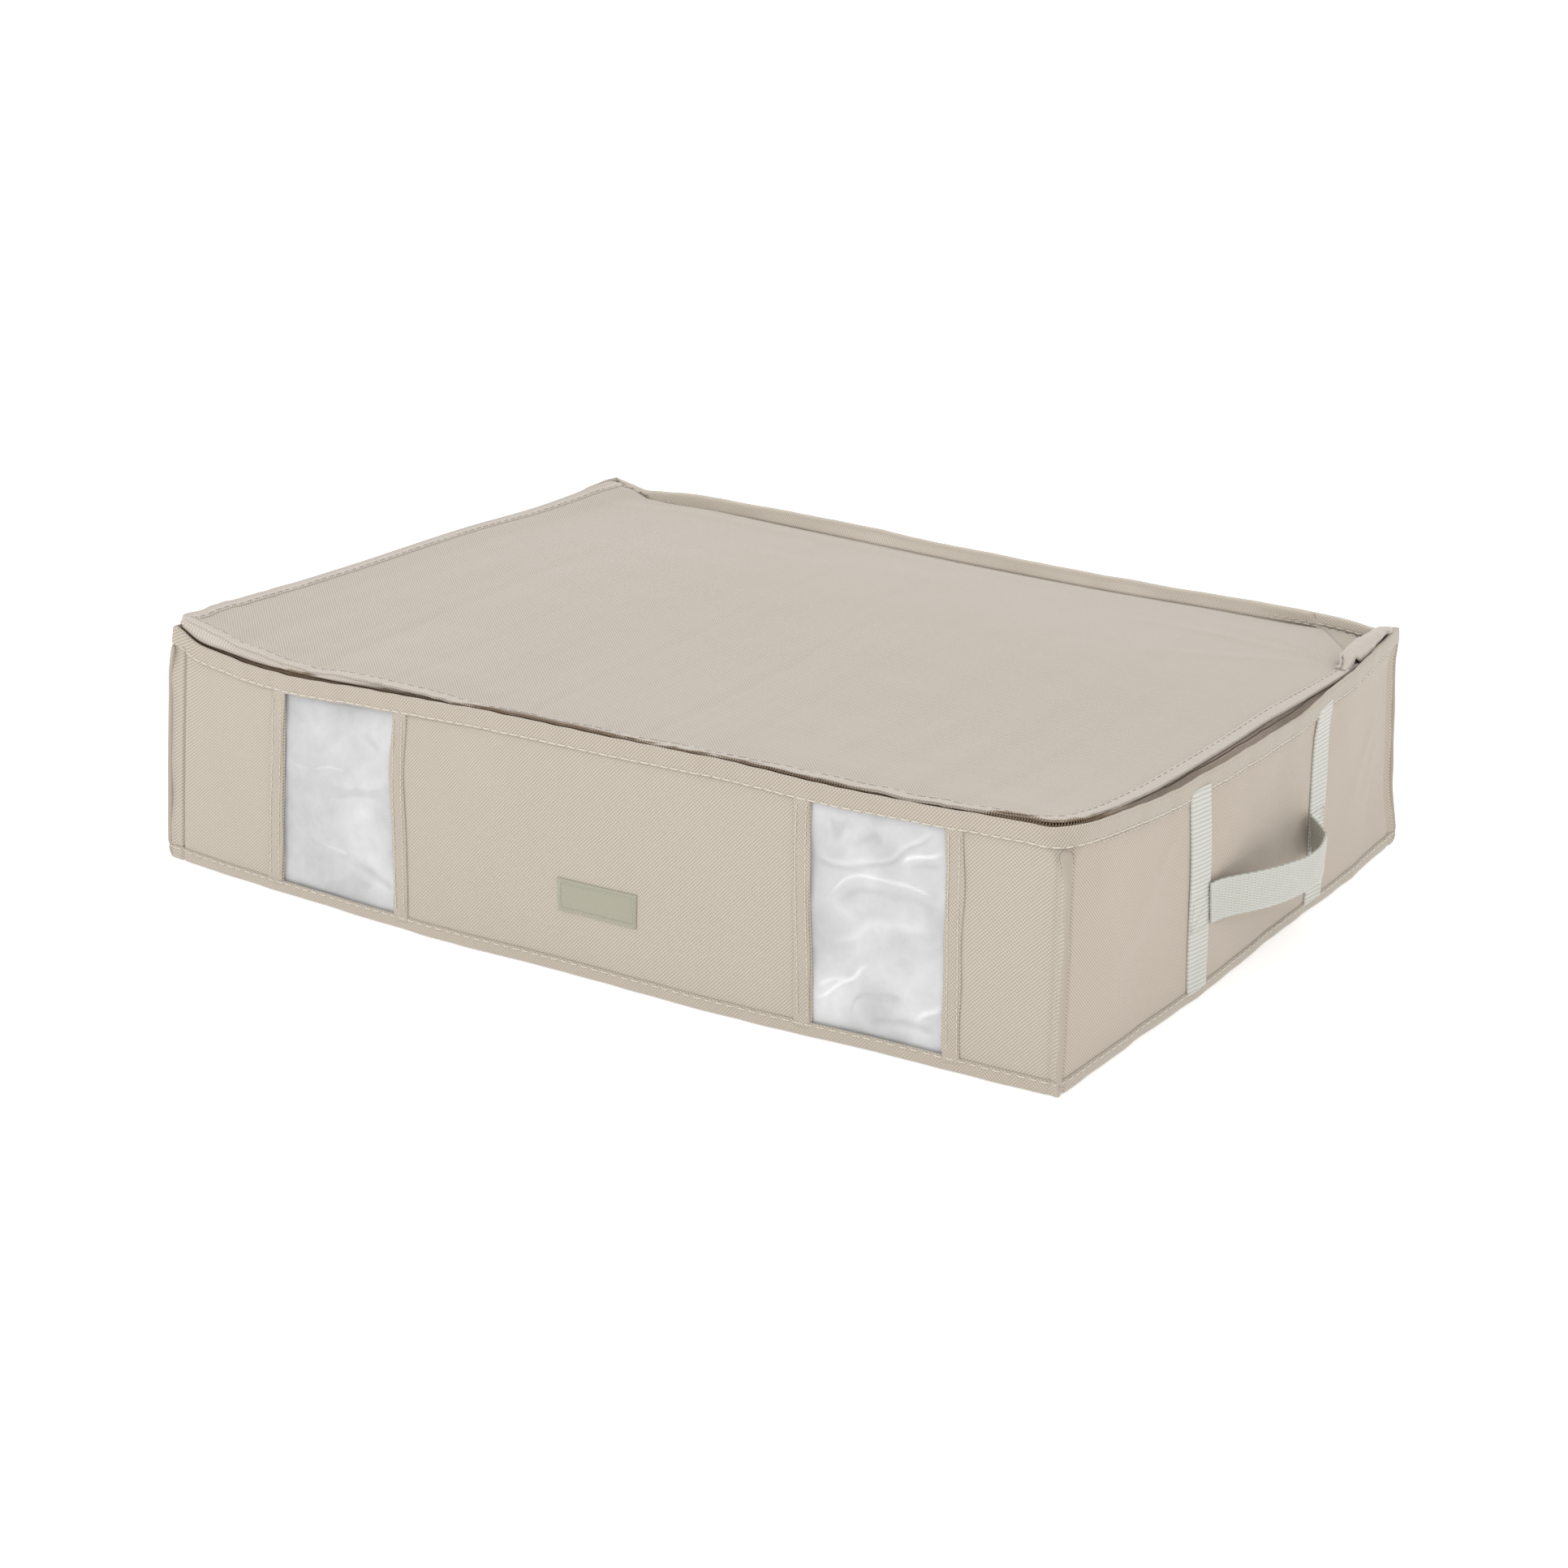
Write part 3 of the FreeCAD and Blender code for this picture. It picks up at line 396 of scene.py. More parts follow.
def hand_over(obj, body, slot, *nodes):
    """Rides obj on its body and hides the CAD nodes it stands for; slot is not used."""
    if body:
        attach(obj, body)
    if nodes:
        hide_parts(*nodes)
    return obj


def sheet(name, p, thickness, uv, material, body, slot, *nodes, turned=False, tint=None):
    """One closed sheet as a piece of its own; turned swaps its outer and inner side."""
    build = Build()
    if turned:
        p, uv = p[:, ::-1], uv[:, ::-1]
    build.shell(p, thickness, uv, tint)
    return hand_over(build.make(name, material), body, slot, *nodes)


def run_across(p):
    """Mean distance across a grid of points, column by column."""
    return np.concatenate([[0], np.cumsum(np.linalg.norm(np.diff(p, axis=1), axis=-1).mean(0))])


def pair_up(a, b):
    """Two grids of coordinates as one grid of points."""
    return np.stack(np.broadcast_arrays(a, b), -1)


# ---------------------------------------------------------------- materials
EXPOSED = 0.76


def srgb(red, green, blue, exposed=EXPOSED):
    """The colour a surface shows under the studio light, turned into its own colour."""
    def linear(c):
        c = c / 255
        return (c / 12.92 if c <= 0.04045 else ((c + 0.055) / 1.055) ** 2.4) * exposed
    return (linear(red), linear(green), linear(blue), 1.0)


class Paint:
    """Builds one procedural material node by node."""

    def __init__(self, name):
        self.material = bpy.data.materials.new(name)
        self.material.use_nodes = True
        self.tree = self.material.node_tree
        self.tree.nodes.clear()
        self.target = self.tree.nodes.new("ShaderNodeOutputMaterial")

    def put(self, socket, value):
        if isinstance(value, bpy.types.NodeSocket):
            self.tree.links.new(value, socket)
        elif value is not None:
            socket.default_value = value

    def node(self, kind, out=0, **inputs):
        made = self.tree.nodes.new(kind)
        for key in [k for k in inputs if k.startswith("set_")]:
            setattr(made, key[4:], inputs.pop(key))
        for key, value in inputs.items():
            socket = made.inputs[int(key[1:])] if key[0] == "i" and key[1:].isdigit() else None
            self.put(socket or made.inputs[key.replace("_", " ")], value)
        return made.outputs[out]

    def math(self, operation, a, b=None, c=None):
        return self.node("ShaderNodeMath", set_operation=operation, i0=a, i1=b, i2=c)

    def mix(self, share, a, b):
        return self.node("ShaderNodeMix", 2, set_data_type="RGBA", i0=share, i6=a, i7=b)

    def scale(self, colour, factor):
        """Multiplies a colour by a number."""
        made = self.tree.nodes.new("ShaderNodeVectorMath")
        made.operation = "SCALE"
        self.put(made.inputs[0], colour[:3] if isinstance(colour, tuple) else colour)
        self.put(made.inputs["Scale"], factor)
        return made.outputs[0]

    def uv(self):
        made = self.node("ShaderNodeUVMap", set_uv_map="UVMap")
        split = self.tree.nodes.new("ShaderNodeSeparateXYZ")
        self.put(split.inputs[0], made)
        return split.outputs[0], split.outputs[1]

    def place(self):
        """The object's own coordinates, which stay on it as it moves."""
        made = self.tree.nodes.new("ShaderNodeTexCoord")
        return made.outputs["Object"]

    def noise(self, scale, detail=3.0, roughness=0.5):
        return self.node("ShaderNodeTexNoise", Vector=self.place(), Scale=scale, Detail=detail,
                         Roughness=roughness)

    def pointiness(self):
        made = self.tree.nodes.new("ShaderNodeNewGeometry")
        return made.outputs["Pointiness"]

    def crease(self):
        """A value kept with the mesh at each point that paints light and shade: shade in webbing grooves,
        highlight and shade on film wrinkles.
        """
        return self.node("ShaderNodeAttribute", 2, set_attribute_name="crease")

    def vary(self, tone, pattern, amount, middle=0.5):
        """Adds a pattern's distance from its middle value to a tone, times amount."""
        return self.math("MULTIPLY_ADD", self.math("SUBTRACT", pattern, middle), amount, tone)

    def bump(self, height, strength, distance):
        return self.node("ShaderNodeBump", Strength=strength, Distance=distance, Height=height)

    def surface(self, **inputs):
        shader = self.node("ShaderNodeBsdfPrincipled", **inputs)
        self.tree.links.new(shader, self.target.inputs[0])
        return shader


CELL = 0.00112


def weave_paint(name, colour, contrast=0.34, sheen=0.25, cell=CELL, deep=0.5, rough=0.86, lean=0.3):
    """Plain woven polyester: crossings that line up more along one diagonal than the other."""
    paint = Paint(name)
    u, v = paint.uv()
    k = math.pi / cell
    rising = paint.math("COSINE", paint.math("MULTIPLY", paint.math("SUBTRACT", u, v), k))
    falling = paint.math("COSINE", paint.math("MULTIPLY", paint.math("ADD", u, v), k))
    crossing = paint.math("SUBTRACT", paint.math("MULTIPLY", rising, 0.5 * (1 - lean)),
                          paint.math("MULTIPLY", falling, 0.5 * (1 + lean)))
    bulk = paint.math("POWER", paint.math("ABSOLUTE", crossing), 0.6)
    mottled = paint.noise(9.0, 4.0, 0.6)
    yarn = paint.noise(900.0, 2.0, 0.6)
    tone = paint.math("MULTIPLY_ADD", crossing, contrast, 1.0)
    tone = paint.vary(tone, bulk, contrast * 0.6, middle=0.6)
    tone = paint.vary(tone, mottled, 0.05)
    tone = paint.vary(tone, yarn, 0.1)
    worn = paint.math("SUBTRACT", paint.pointiness(), 0.5)
    tone = paint.math("MULTIPLY_ADD", paint.math("MAXIMUM", worn, 0.0), 0.6, tone)
    height = paint.math("MULTIPLY_ADD", crossing, 0.35, bulk)
    height = paint.math("MULTIPLY_ADD", yarn, 0.4, height)
    paint.surface(Base_Color=paint.scale(colour, tone), Roughness=rough, Specular_IOR_Level=0.25,
                  Sheen_Weight=sheen, Sheen_Roughness=0.5, Normal=paint.bump(height, deep, 0.0003))
    return paint.material


def webbing_paint(name, colour, groove):
    """Ribbed polypropylene tape: yarn fuzz, painted shade in the grooves, a slight shine."""
    paint = Paint(name)
    fuzz = paint.noise(1400.0, 2.0, 0.7)
    drift = paint.noise(60.0, 3.0)
    # The groove colour is painted shade, mixed in by the mesh's crease value.
    tint = paint.mix(paint.crease(), colour, groove)
    tone = paint.vary(1.0, fuzz, 0.18)
    tone = paint.vary(tone, drift, 0.06)
    paint.surface(Base_Color=paint.scale(tint, tone), Roughness=0.62, Specular_IOR_Level=0.35,
                  Sheen_Weight=0.15, Normal=paint.bump(fuzz, 0.35, 0.0002))
    return paint.material


def film_paint(name, colour, alpha, rough=0.16, streak=40.0):
    """Clear plastic film: milky, glossy, with fine drawn streaks and small creases; its crease value paints
    highlight and shade along its wrinkles.
    """
    paint = Paint(name)
    cloudy = paint.noise(streak, 4.0, 0.6)
    fine = paint.noise(260.0, 3.0, 0.7)
    # Painted highlight and shade of the wrinkles: the crease value lightens the film and makes it less clear.
    wrinkle_light_and_shade = paint.crease()
    tone = paint.vary(0.86, cloudy, 0.12)
    tone = paint.math("MULTIPLY_ADD", wrinkle_light_and_shade, 0.3, tone)
    gloss = paint.math("MULTIPLY_ADD", cloudy, 0.18, rough - 0.06)
    see = paint.vary(alpha, cloudy, 0.3)
    see = paint.math("MULTIPLY_ADD", wrinkle_light_and_shade, 0.45, see)
    height = paint.math("MULTIPLY_ADD", fine, 0.3, cloudy)
    paint.surface(Base_Color=paint.scale(colour, tone), Roughness=gloss, Alpha=see, IOR=1.45,
                  Specular_IOR_Level=0.6, Coat_Weight=0.3, Coat_Roughness=0.08,
                  Normal=paint.bump(height, 0.3, 0.0012))
    return paint.material


def tape_paint(name, colour):
    """Zip tape: fine twill lines on a dark woven ribbon."""
    paint = Paint(name)
    u, v = paint.uv()
    diagonal = paint.math("SINE", paint.math("MULTIPLY", paint.math("ADD", u, v), 2 * math.pi / 0.0007))
    lines = paint.math("SINE", paint.math("MULTIPLY", v, 2 * math.pi / 0.0016))
    dust = paint.noise(300.0, 3.0)
    tone = paint.math("MULTIPLY_ADD", diagonal, 0.12, 1.0)
    tone = paint.math("MULTIPLY_ADD", lines, 0.18, tone)
    tone = paint.vary(tone, dust, 0.25)
    paint.surface(Base_Color=paint.scale(colour, tone), Roughness=0.7, Sheen_Weight=0.2,
                  Normal=paint.bump(paint.math("ADD", diagonal, lines), 0.4, 0.0002))
    return paint.material


def hard_paint(name, colour, metallic, rough, scratch=220.0, alpha=1.0, coat=0.0):
    """Moulded plastic or plated metal: brushed scratches, a little grime, bright worn edges."""
    paint = Paint(name)
    brushed = paint.noise(scratch, 5.0, 0.7)
    grime = paint.noise(90.0, 3.0)
    edges = paint.math("SUBTRACT", paint.pointiness(), 0.52)
    worn = paint.node("ShaderNodeClamp", i0=paint.math("MULTIPLY", edges, 9.0))
    bright = tuple(min(1.0, c * 1.5 + 0.03) for c in colour[:3]) + (1.0,)
    tint = paint.mix(worn, colour, bright)
    tone = paint.vary(1.0, grime, 0.25)
    gloss = paint.math("MULTIPLY_ADD", brushed, 0.22, rough - 0.1)
    paint.surface(Base_Color=paint.scale(tint, tone), Metallic=metallic, Roughness=gloss, Alpha=alpha,
                  Coat_Weight=coat, Normal=paint.bump(brushed, 0.12, 0.0002))
    return paint.material


FRONT_CLOTH = weave_paint("front_weave", srgb(202, 192, 177), contrast=0.28, lean=-0.15)
SIDE_CLOTH = weave_paint("side_weave", srgb(202, 189, 173), contrast=0.28)
LID_CLOTH = weave_paint("lid_weave", srgb(202, 191, 178), contrast=0.26)
BAND_CLOTH = weave_paint("band_weave", srgb(199, 188, 173), contrast=0.3)
RIDGE_CLOTH = weave_paint("ridge_weave", srgb(218, 208, 194), contrast=0.2)
HEM_CLOTH = weave_paint("hem_weave", srgb(212, 202, 191), contrast=0.18)
INSIDE_CLOTH = weave_paint("inside_weave", srgb(196, 188, 176), contrast=0.16)
# Each webbing paint's second colour is painted groove shade; only the straps and handles give it a crease
# value.
WEBBING = webbing_paint("webbing", srgb(226, 226, 218), srgb(194, 194, 184))
THREAD = webbing_paint("thread", srgb(233, 226, 212), srgb(214, 206, 192))
HEM_THREAD = webbing_paint("hem_thread", srgb(224, 215, 203), srgb(204, 194, 182))
WINDOW_FILM = film_paint("window_film", srgb(246, 246, 247, 0.8), 0.6, rough=0.3)
BAG_FILM = film_paint("bag_film", srgb(244, 245, 247, 0.9), 1.0, rough=0.34, streak=24.0)
ZIP_TAPE = tape_paint("zip_tape", srgb(158, 140, 124))
COIL = hard_paint("zip_coil", srgb(158, 136, 112), 0.6, 0.24, scratch=900.0)
METAL = hard_paint("zip_metal", srgb(150, 140, 126), 1.0, 0.34)
PLASTIC = hard_paint("bag_plastic", srgb(226, 230, 234), 0.0, 0.3, alpha=0.92, coat=0.3)
CLIP_PLASTIC = hard_paint("clip_plastic", srgb(196, 206, 214), 0.0, 0.34, coat=0.3)
LABEL_CLOTH = weave_paint("label_weave", srgb(178, 175, 157), contrast=0.12, cell=0.0004, deep=0.3)
LABEL_THREAD = webbing_paint("label_thread", srgb(206, 206, 190), srgb(160, 160, 140))


# ---------------------------------------------------------------- walls, floor, bands
def wall_uv(s, h):
    return pair_up(s, h * RIM)


LEVELS = np.concatenate([steps(0.002, 0.1, 0.016), steps(0.13, 0.86, 0.034), steps(0.88, 1.0, 0.014)])


def wall_sheet(name, s_values, material, node, extra=None):
    """A sheet of cloth over a stretch of wall; extra gives how far it stands out at (s, h)."""
    s, h = np.meshgrid(s_values, LEVELS, indexing="ij")
    p = wall(s, h, 0.0 if extra is None else extra(s, h))
    return sheet(name, p, CLOTH, wall_uv(s, h), material, "case", "cloth", node)


def span(node, side):
    low, high = box_mm(node)
    axis = 0 if side in (FRONT, BACK) else 1
    ends = s_at(side, low[axis]), s_at(side, high[axis])
    return min(ends), max(ends)


def window_tuck(edges):
    """Pulls a front panel in a little where a window's tape is sewn on."""
    def extra(s, h):
        pull = sum(np.exp(-(((s - e) / 6.0) ** 2)) for e in edges)
        return -0.5 * pull * (1 + 0.6 * ripple(h * 150, 0 * s, 34, 15))
    return extra


def make_walls():
    corner = STARTS.tolist() + [ROUND]
    left_a, left_b = box_mm("left_window_outer_tape")[1][0], box_mm("left_window_inner_tape")[0][0]
    right_a, right_b = box_mm("right_window_inner_tape")[1][0], box_mm("right_window_outer_tape")[0][0]
    e = [s_at(FRONT, x) for x in (left_a, left_b, right_a, right_b)]
    first = np.concatenate([corner[1] + np.arange(0, 16, 0.7), steps(corner[1] + 16, e[0], 4)])
    last = np.concatenate([steps(e[3], corner[2] - 16, 4), (corner[2] - np.arange(0, 16, 1.2))[::-1]])
    middle = steps(e[1], e[2], 4)
    tuck = window_tuck(e)
    wall_sheet("front_left_cloth", first, FRONT_CLOTH, "front_left_panel", tuck)
    wall_sheet("front_centre_cloth", middle, FRONT_CLOTH, "front_centre_panel", tuck)
    wall_sheet("front_right_cloth", last, FRONT_CLOTH, "front_right_panel", tuck)
    for name, side in (("left", LEFT), ("right", RIGHT), ("back", BACK)):
        values = dense_ends(corner[side], corner[side + 1], 5)
        wall_sheet(name + "_cloth", values, SIDE_CLOTH, name + "_panel")


def make_base():
    """The flat base, inside the foot of the walls."""
    s = steps(0, ROUND, 8)[:-1]
    rings = [wall(s, 0 * s + 0.002, -1.5)]
    centre = np.array([0.0, 0.0, 0.0])
    for share in np.linspace(0.94, 0.06, 16):
        rings.append(centre + (rings[0] - centre) * [share, share, 1])
    p = np.array(rings)
    p[..., 2] = 0.5 + 0.25 * (ripple(p[..., 0], p[..., 1], 80, 21) + 1)
    n, m = p.shape[:2]
    build = Build()
    for lift, flip in ((1.2, False), (0.0, True)):
        q = p.copy()
        q[..., 2] += lift - (0.5 if flip else 0)
        q[..., 2] = np.maximum(q[..., 2], 0)
        verts = np.concatenate([q.reshape(-1, 3), [[0, 0, q[-1, :, 2].mean()]]])
        faces = disc_faces(n, m)
        build.add(verts, [f[::-1] for f in faces] if flip else faces, verts[:, :2])
    top, low = 0, n * m + 1
    build.faces += [(top + (j + 1) % m, top + j, low + j, low + (j + 1) % m) for j in range(m)]
    hand_over(build.make("base_cloth", INSIDE_CLOTH), "case", "cloth", "base_panel")


def folded_band(name, s_values, profile, material, node):
    """A folded strip along the rim: profile gives (out, height over the rim) points."""
    s = s_values[:, None]
    out = np.array([p[0] for p in profile])[None]
    rise = np.array([p[1] for p in profile])[None]
    rise = rise + 0 * s
    p = wall(s, 1 + 0 * rise, out)
    p[..., 2] += rise
    low = wall(s, 1 + rise / RIM, out)
    p[..., :2] = np.where((rise < -1)[..., None], low[..., :2], p[..., :2])
    run = np.concatenate([[0], np.cumsum(np.hypot(*np.diff(np.array(profile), axis=0).T))])
    uv = pair_up(s, -run[None])
    return sheet(name, p, BINDING_CLOTH, uv, material, "case", "binding", node, turned=True)


# Section of a binding folded over the rim: out from the wall, height over the rim.
RIM_PROFILE = [(0.6, 0.4 - BAND), (0.7, 1.0 - BAND), (0.72, -BAND * 0.6), (0.75, -BAND * 0.3), (0.75, -0.9),
               (0.6, -0.1), (0.2, 0.4), (-0.4, 0.55), (-1.1, 0.45), (-1.65, -0.1), (-1.85, -0.9),
               (-1.85, -BAND * 0.4), (-1.8, 0.5 - BAND)]


def corner_spread(start, end, step):
    """s values from start to end, closer together near the box's corners."""
    values = list(steps(start, end, step))
    for c in STARTS.tolist() + [ROUND]:
        values += [v for v in np.arange(c - 14, c + 14.1, 1.4) if start < v < end]
    values = np.unique(np.round(values, 2))
    return values[np.concatenate([[True], np.diff(values) > 0.5])]


def make_bands():
    meeting = 0.2
    folded_band("rim_band_cloth", corner_spread(meeting, STARTS[3] - meeting, 4), RIM_PROFILE, BAND_CLOTH,
                "rim_band")
    folded_band("back_rim_band_cloth", corner_spread(STARTS[3] + meeting, ROUND - meeting, 5), RIM_PROFILE,
                RIDGE_CLOTH, "back_rim_band")
    s_all = corner_spread(0, ROUND, 4)
    rows = [(0.6, BASE_BAND), (0.75, BASE_BAND * 0.85), (0.8, BASE_BAND * 0.4), (0.75, 1.4), (0.3, 0.45),
            (-0.8, 0.1), (-2.4, 0.05)]
    s, h = np.meshgrid(s_all, [z / RIM for _, z in rows], indexing="ij")
    out = np.array([o for o, _ in rows])[None] + 0 * s
    p = wall(s, h, out)
    sheet("base_band_cloth", p, BINDING_CLOTH, wall_uv(s, h), BAND_CLOTH, "case", "binding", "base_seam_band",
          turned=True)


def make_corner_seams():
    names = ["back_left", "front_left", "front_right", "back_right"]
    for k, name in enumerate(names):
        s0 = STARTS[k]
        end = 0.985 if k in (0, 3) else 0.925
        h = np.concatenate([[0.05], steps(0.075, 0.9, 0.03), [0.5 * (0.9 + end), end]])
        wobble = 0.5 * ripple(h * 150, 0 * h, 40, 31 + k)
        diagonal = OUTWARD[k] + OUTWARD[k - 1]
        diagonal = np.array([diagonal[0], diagonal[1], 0]) / math.sqrt(2)
        across = np.array([-diagonal[1], diagonal[0], 0])
        path = wall(s0 + 0 * h, h, -0.4) + across * wobble[:, None]
        taper = np.minimum(1, np.minimum((h - 0.03) / 0.04, (end + 0.025 - h) / 0.04))
        build = Build()
        spread = smoothstep(0.78, 0.93, h) * (k in (1, 2))
        build.tube(path, (1.5 + 2.4 * spread) * taper, 1.7 * taper, up=diagonal, sides=10)
        knot = wall(s0 + 0 * h[:3], np.array([0.012, 0.03, 0.05]), -0.2)
        build.tube(knot, [0.8, 1.3, 1.0], [0.9, 1.5, 1.4], up=diagonal, sides=8)
        hand_over(build.make("corner_seam_" + name + "_cloth", BAND_CLOTH), "case", "binding",
                  "corner_seam_" + name)


# ---------------------------------------------------------------- windows
def crumple(p, scale, seed):
    """Sharp folds like those of crushed film, from 0 to about 1."""
    shift = Vector((seed * 13.7, seed * 5.1, seed * 2.3))
    return np.array([noise.ridged_multi_fractal(Vector(q) * scale + shift, 0.9, 2.1, 3, 1.0, 2.0)
                     for q in p.reshape(-1, 3)]).reshape(p.shape[:-1])


# Wrinkles of each window's film: points across from its middle and up, strength, width.
# A positive strength is a ridge with a painted highlight, a negative one a hollow with painted shade.
LEFT_WRINKLES = [([(-43, 78), (0, 81), (44, 87)], -0.5, 2.6), ([(-39, 93), (-16, 95), (6, 95)], 0.3, 1.0),
                 ([(-29, 44), (-10, 42), (8, 39)], 0.4, 1.3), ([(-30, 40), (-12, 37), (5, 35)], -0.3, 1.4),
                 ([(-15, 73), (-18, 56), (-9, 46)], 0.3, 1.6), ([(4, 39), (25, 31), (44, 25)], -0.5, 3.0),
                 ([(-16, 12), (4, 18), (26, 24)], -0.4, 2.0),
                 ([(-40, 60), (-33, 50), (-27, 36)], 0.25, 1.2),
                 ([(22, 128), (27, 116), (36, 110)], -0.4, 3.0)]
RIGHT_WRINKLES = [([(-42, 108), (-15, 108), (10, 117), (35, 136)], -0.4, 1.8),
                  ([(-42, 111), (-15, 111), (10, 120), (35, 139)], 0.3, 2.4),
                  ([(14, 116), (26, 121), (42, 126)], 0.9, 1.6),
                  ([(18, 112), (30, 116), (43, 119)], -0.3, 2.2),
                  ([(-31, 91), (-20, 101), (0, 105), (35, 101)], 0.6, 1.0),
                  ([(-26, 88), (-10, 95), (16, 97), (38, 91)], -0.25, 2.4),
                  ([(-42, 24), (-24, 38), (-5, 52)], 0.6, 1.4), ([(-42, 33), (-28, 39), (-14, 44)], 0.4, 1.2),
                  ([(-20, 15), (-16, 26), (-2, 32), (18, 34)], -0.5, 2.0),
                  ([(24, 24), (34, 31), (44, 36)], 0.7, 2.0), ([(-6, 16), (14, 22), (40, 18)], -0.4, 2.2),
                  ([(-34, 134), (-26, 128), (-18, 133)], -0.6, 3.4),
                  ([(-14, 122), (-6, 130), (2, 126)], -0.4, 2.6), ([(-30, 60), (-4, 76), (34, 80)], 0.3, 3.2)]


def wrinkle(x, z, points, width):
    """A ridge along a gentle curve, fading out at both ends."""
    points = np.array(points, float)
    across = np.ptp(points[:, 0]) >= np.ptp(points[:, 1])
    along, over = (x, z) if across else (z, x)
    points = points if across else points[:, ::-1]
    points = points[np.argsort(points[:, 0])]
    first, last = points[0, 0], points[-1, 0]
    line = over - curve_through(points, np.clip(along, first, last))
    ends = smoothstep(first - 1, first + 7, along) * smoothstep(last + 1, last - 7, along)
    return ends * np.exp(-((line / width) ** 2))


def make_film(name, wrinkles, seed, strength, tone):
    low, high = span(name, FRONT)
    s, h = np.meshgrid(steps(low + 5, high - 5, 1.25), steps(0.012, 0.985, 0.0082), indexing="ij")
    fade = smoothstep(0, 14, s - low - 5) * smoothstep(0, 14, high - 5 - s) * smoothstep(0.03, 0.14, h)
    fade = fade * smoothstep(0.98, 0.88, h)
    x, z = s - (low + high) / 2, h * RIM
    c = crumple(np.stack([s, 0 * s, z * 0.8], -1), 1 / 62, seed) - 1.0
    fine = crumple(np.stack([s, 0 * s, z], -1), 1 / 26, seed + 5) - 1.0
    dent = -1.9 + fade * (strength * (c + 0.25 * fine) + 0.9 * ripple(s, z, 60, seed))
    # Painted highlight and shade of the film, following its crumples and wrinkles, over a base level for each
    # window.
    painted_film_light = tone + 0.16 * c + 0.1 * fine + 0.12 * ripple(s, z, 70, seed + 1)
    for points, size, width in wrinkles:
        astray = 1.5 * ripple(s, z, 30, seed + 2), 1.2 * ripple(s, z, 24, seed + 3)
        fold = wrinkle(x + astray[0], z + astray[1], points, width)
        dent = dent + fade * 1.1 * size * fold
        painted_film_light = painted_film_light + 0.55 * size * fold
    p = wall(s, h, np.clip(dent, -4.6, -0.6))
    return sheet(name + "_sheet", p, 0.4, wall_uv(s, h), WINDOW_FILM, "case", "window_film", name,
                 tint=np.clip(painted_film_light, 0, 1))


def make_windows():
    make_film("left_window_film", LEFT_WRINKLES, 3, 0.9, 0.06)
    make_film("right_window_film", RIGHT_WRINKLES, 8, 1.5, 0.16)
    for side in ("left", "right"):
        for place in ("outer", "inner"):
            name = side + "_window_" + place + "_tape"
            low, high = span(name, FRONT)
            levels = LEVELS[(LEVELS > 0.03) & (LEVELS < 0.96)]
            s, h = np.meshgrid(np.linspace(low, high, 10), levels, indexing="ij")
            t = (s - low) / (high - low)
            waves = 0.25 * ripple(s, h * 150, 26, len(name))
            outer = 0.75 + 0.35 * np.sin(math.pi * t) + waves * 0.6
            sway = 0.7 * ripple(h * 150, 0 * s, 70, len(name) + 3)
            sheet(name + "_cloth", wall(s + sway, h, outer), 0.9, wall_uv(s, h), BAND_CLOTH,
                  "case", "binding", name)


# ---------------------------------------------------------------- label, straps, handles
def make_label():
    low, high = box_mm("label_patch")
    x = np.linspace(low[0], high[0], 57)
    z = np.linspace(low[2], high[2], 24)
    s, zz = np.meshgrid(s_at(FRONT, x), z, indexing="ij")
    edge = np.minimum(np.minimum(s - s.min(), s.max() - s), np.minimum(zz - low[2], high[2] - zz))
    lift = 0.85 * smoothstep(-0.4, 1.2, edge) - 0.28 * np.exp(-(((edge - 2.6) / 0.7) ** 2))
    sheet("label_patch_cloth", wall(s, zz / RIM, lift + 0.35), 0.8, pair_up(s, zz), LABEL_CLOTH, "case",
          "label", "label_patch")
    threads = Build()
    inset = 2.4
    xs = low[0] + inset, high[0] - inset
    zs = low[2] + inset, high[2] - inset
    loop = [(xs[0], zs[0]), (xs[1], zs[0]), (xs[1], zs[1]), (xs[0], zs[1]), (xs[0], zs[0])]
    for (xa, za), (xb, zb) in zip(loop[:-1], loop[1:]):
        t = np.linspace(0, 1, 40)
        path = wall(s_at(FRONT, xa + (xb - xa) * t), (za + (zb - za) * t) / RIM, 1.0)
        threads.row(path, np.tile([0.0, -1, 0], (40, 1)), 1.5, 2.1, 0.2, seed=int(xa + 99))
    hand_over(threads.make("label_threads", LABEL_THREAD), "case", "label")


STRAP_LEAN = {"front": (-76.5, -98.2), "back": (102.2, 95.4)}


def strap_middle(node, z):
    """The strap's middle, from its foot to the rim."""
    low, high = STRAP_LEAN["front" if "front" in node else "back"]
    return low + (high - low) * z / RIM


def make_strap(node, side):
    low, high = box_mm(node)
    width = high[1] - low[1]
    zs = steps(low[2] - 2.5, high[2] + 5.0, 0.42)
    t, z = np.meshgrid(np.linspace(-1, 1, 15), zs, indexing="ij")
    if side == LEFT:
        t = -t
    s = s_at(side, strap_middle(node, z) + t * width / 2)
    edge = 1 - np.abs(t) ** 10
    wave = np.sin(2 * math.pi * (z + 1.1 * t) / 2.9 + 0.5 * ripple(z, 0 * z, 25, 41))
    lie = 0.4 * ripple(s, z, 60, 44) * smoothstep(0, 20, z) - 0.5 * smoothstep(high[2] - 4, high[2] + 5, z)
    p = wall(s, z / RIM, 1.25 + edge * (0.35 + 0.18 * wave) + lie * 0.4)
    # The tint is painted shade in the grooves between the ribs.
    return sheet(node + "_webbing", p, 1.3, pair_up(s, z), WEBBING, "case", "webbing", node,
                 tint=(0.5 - 0.5 * wave) ** 1.6)


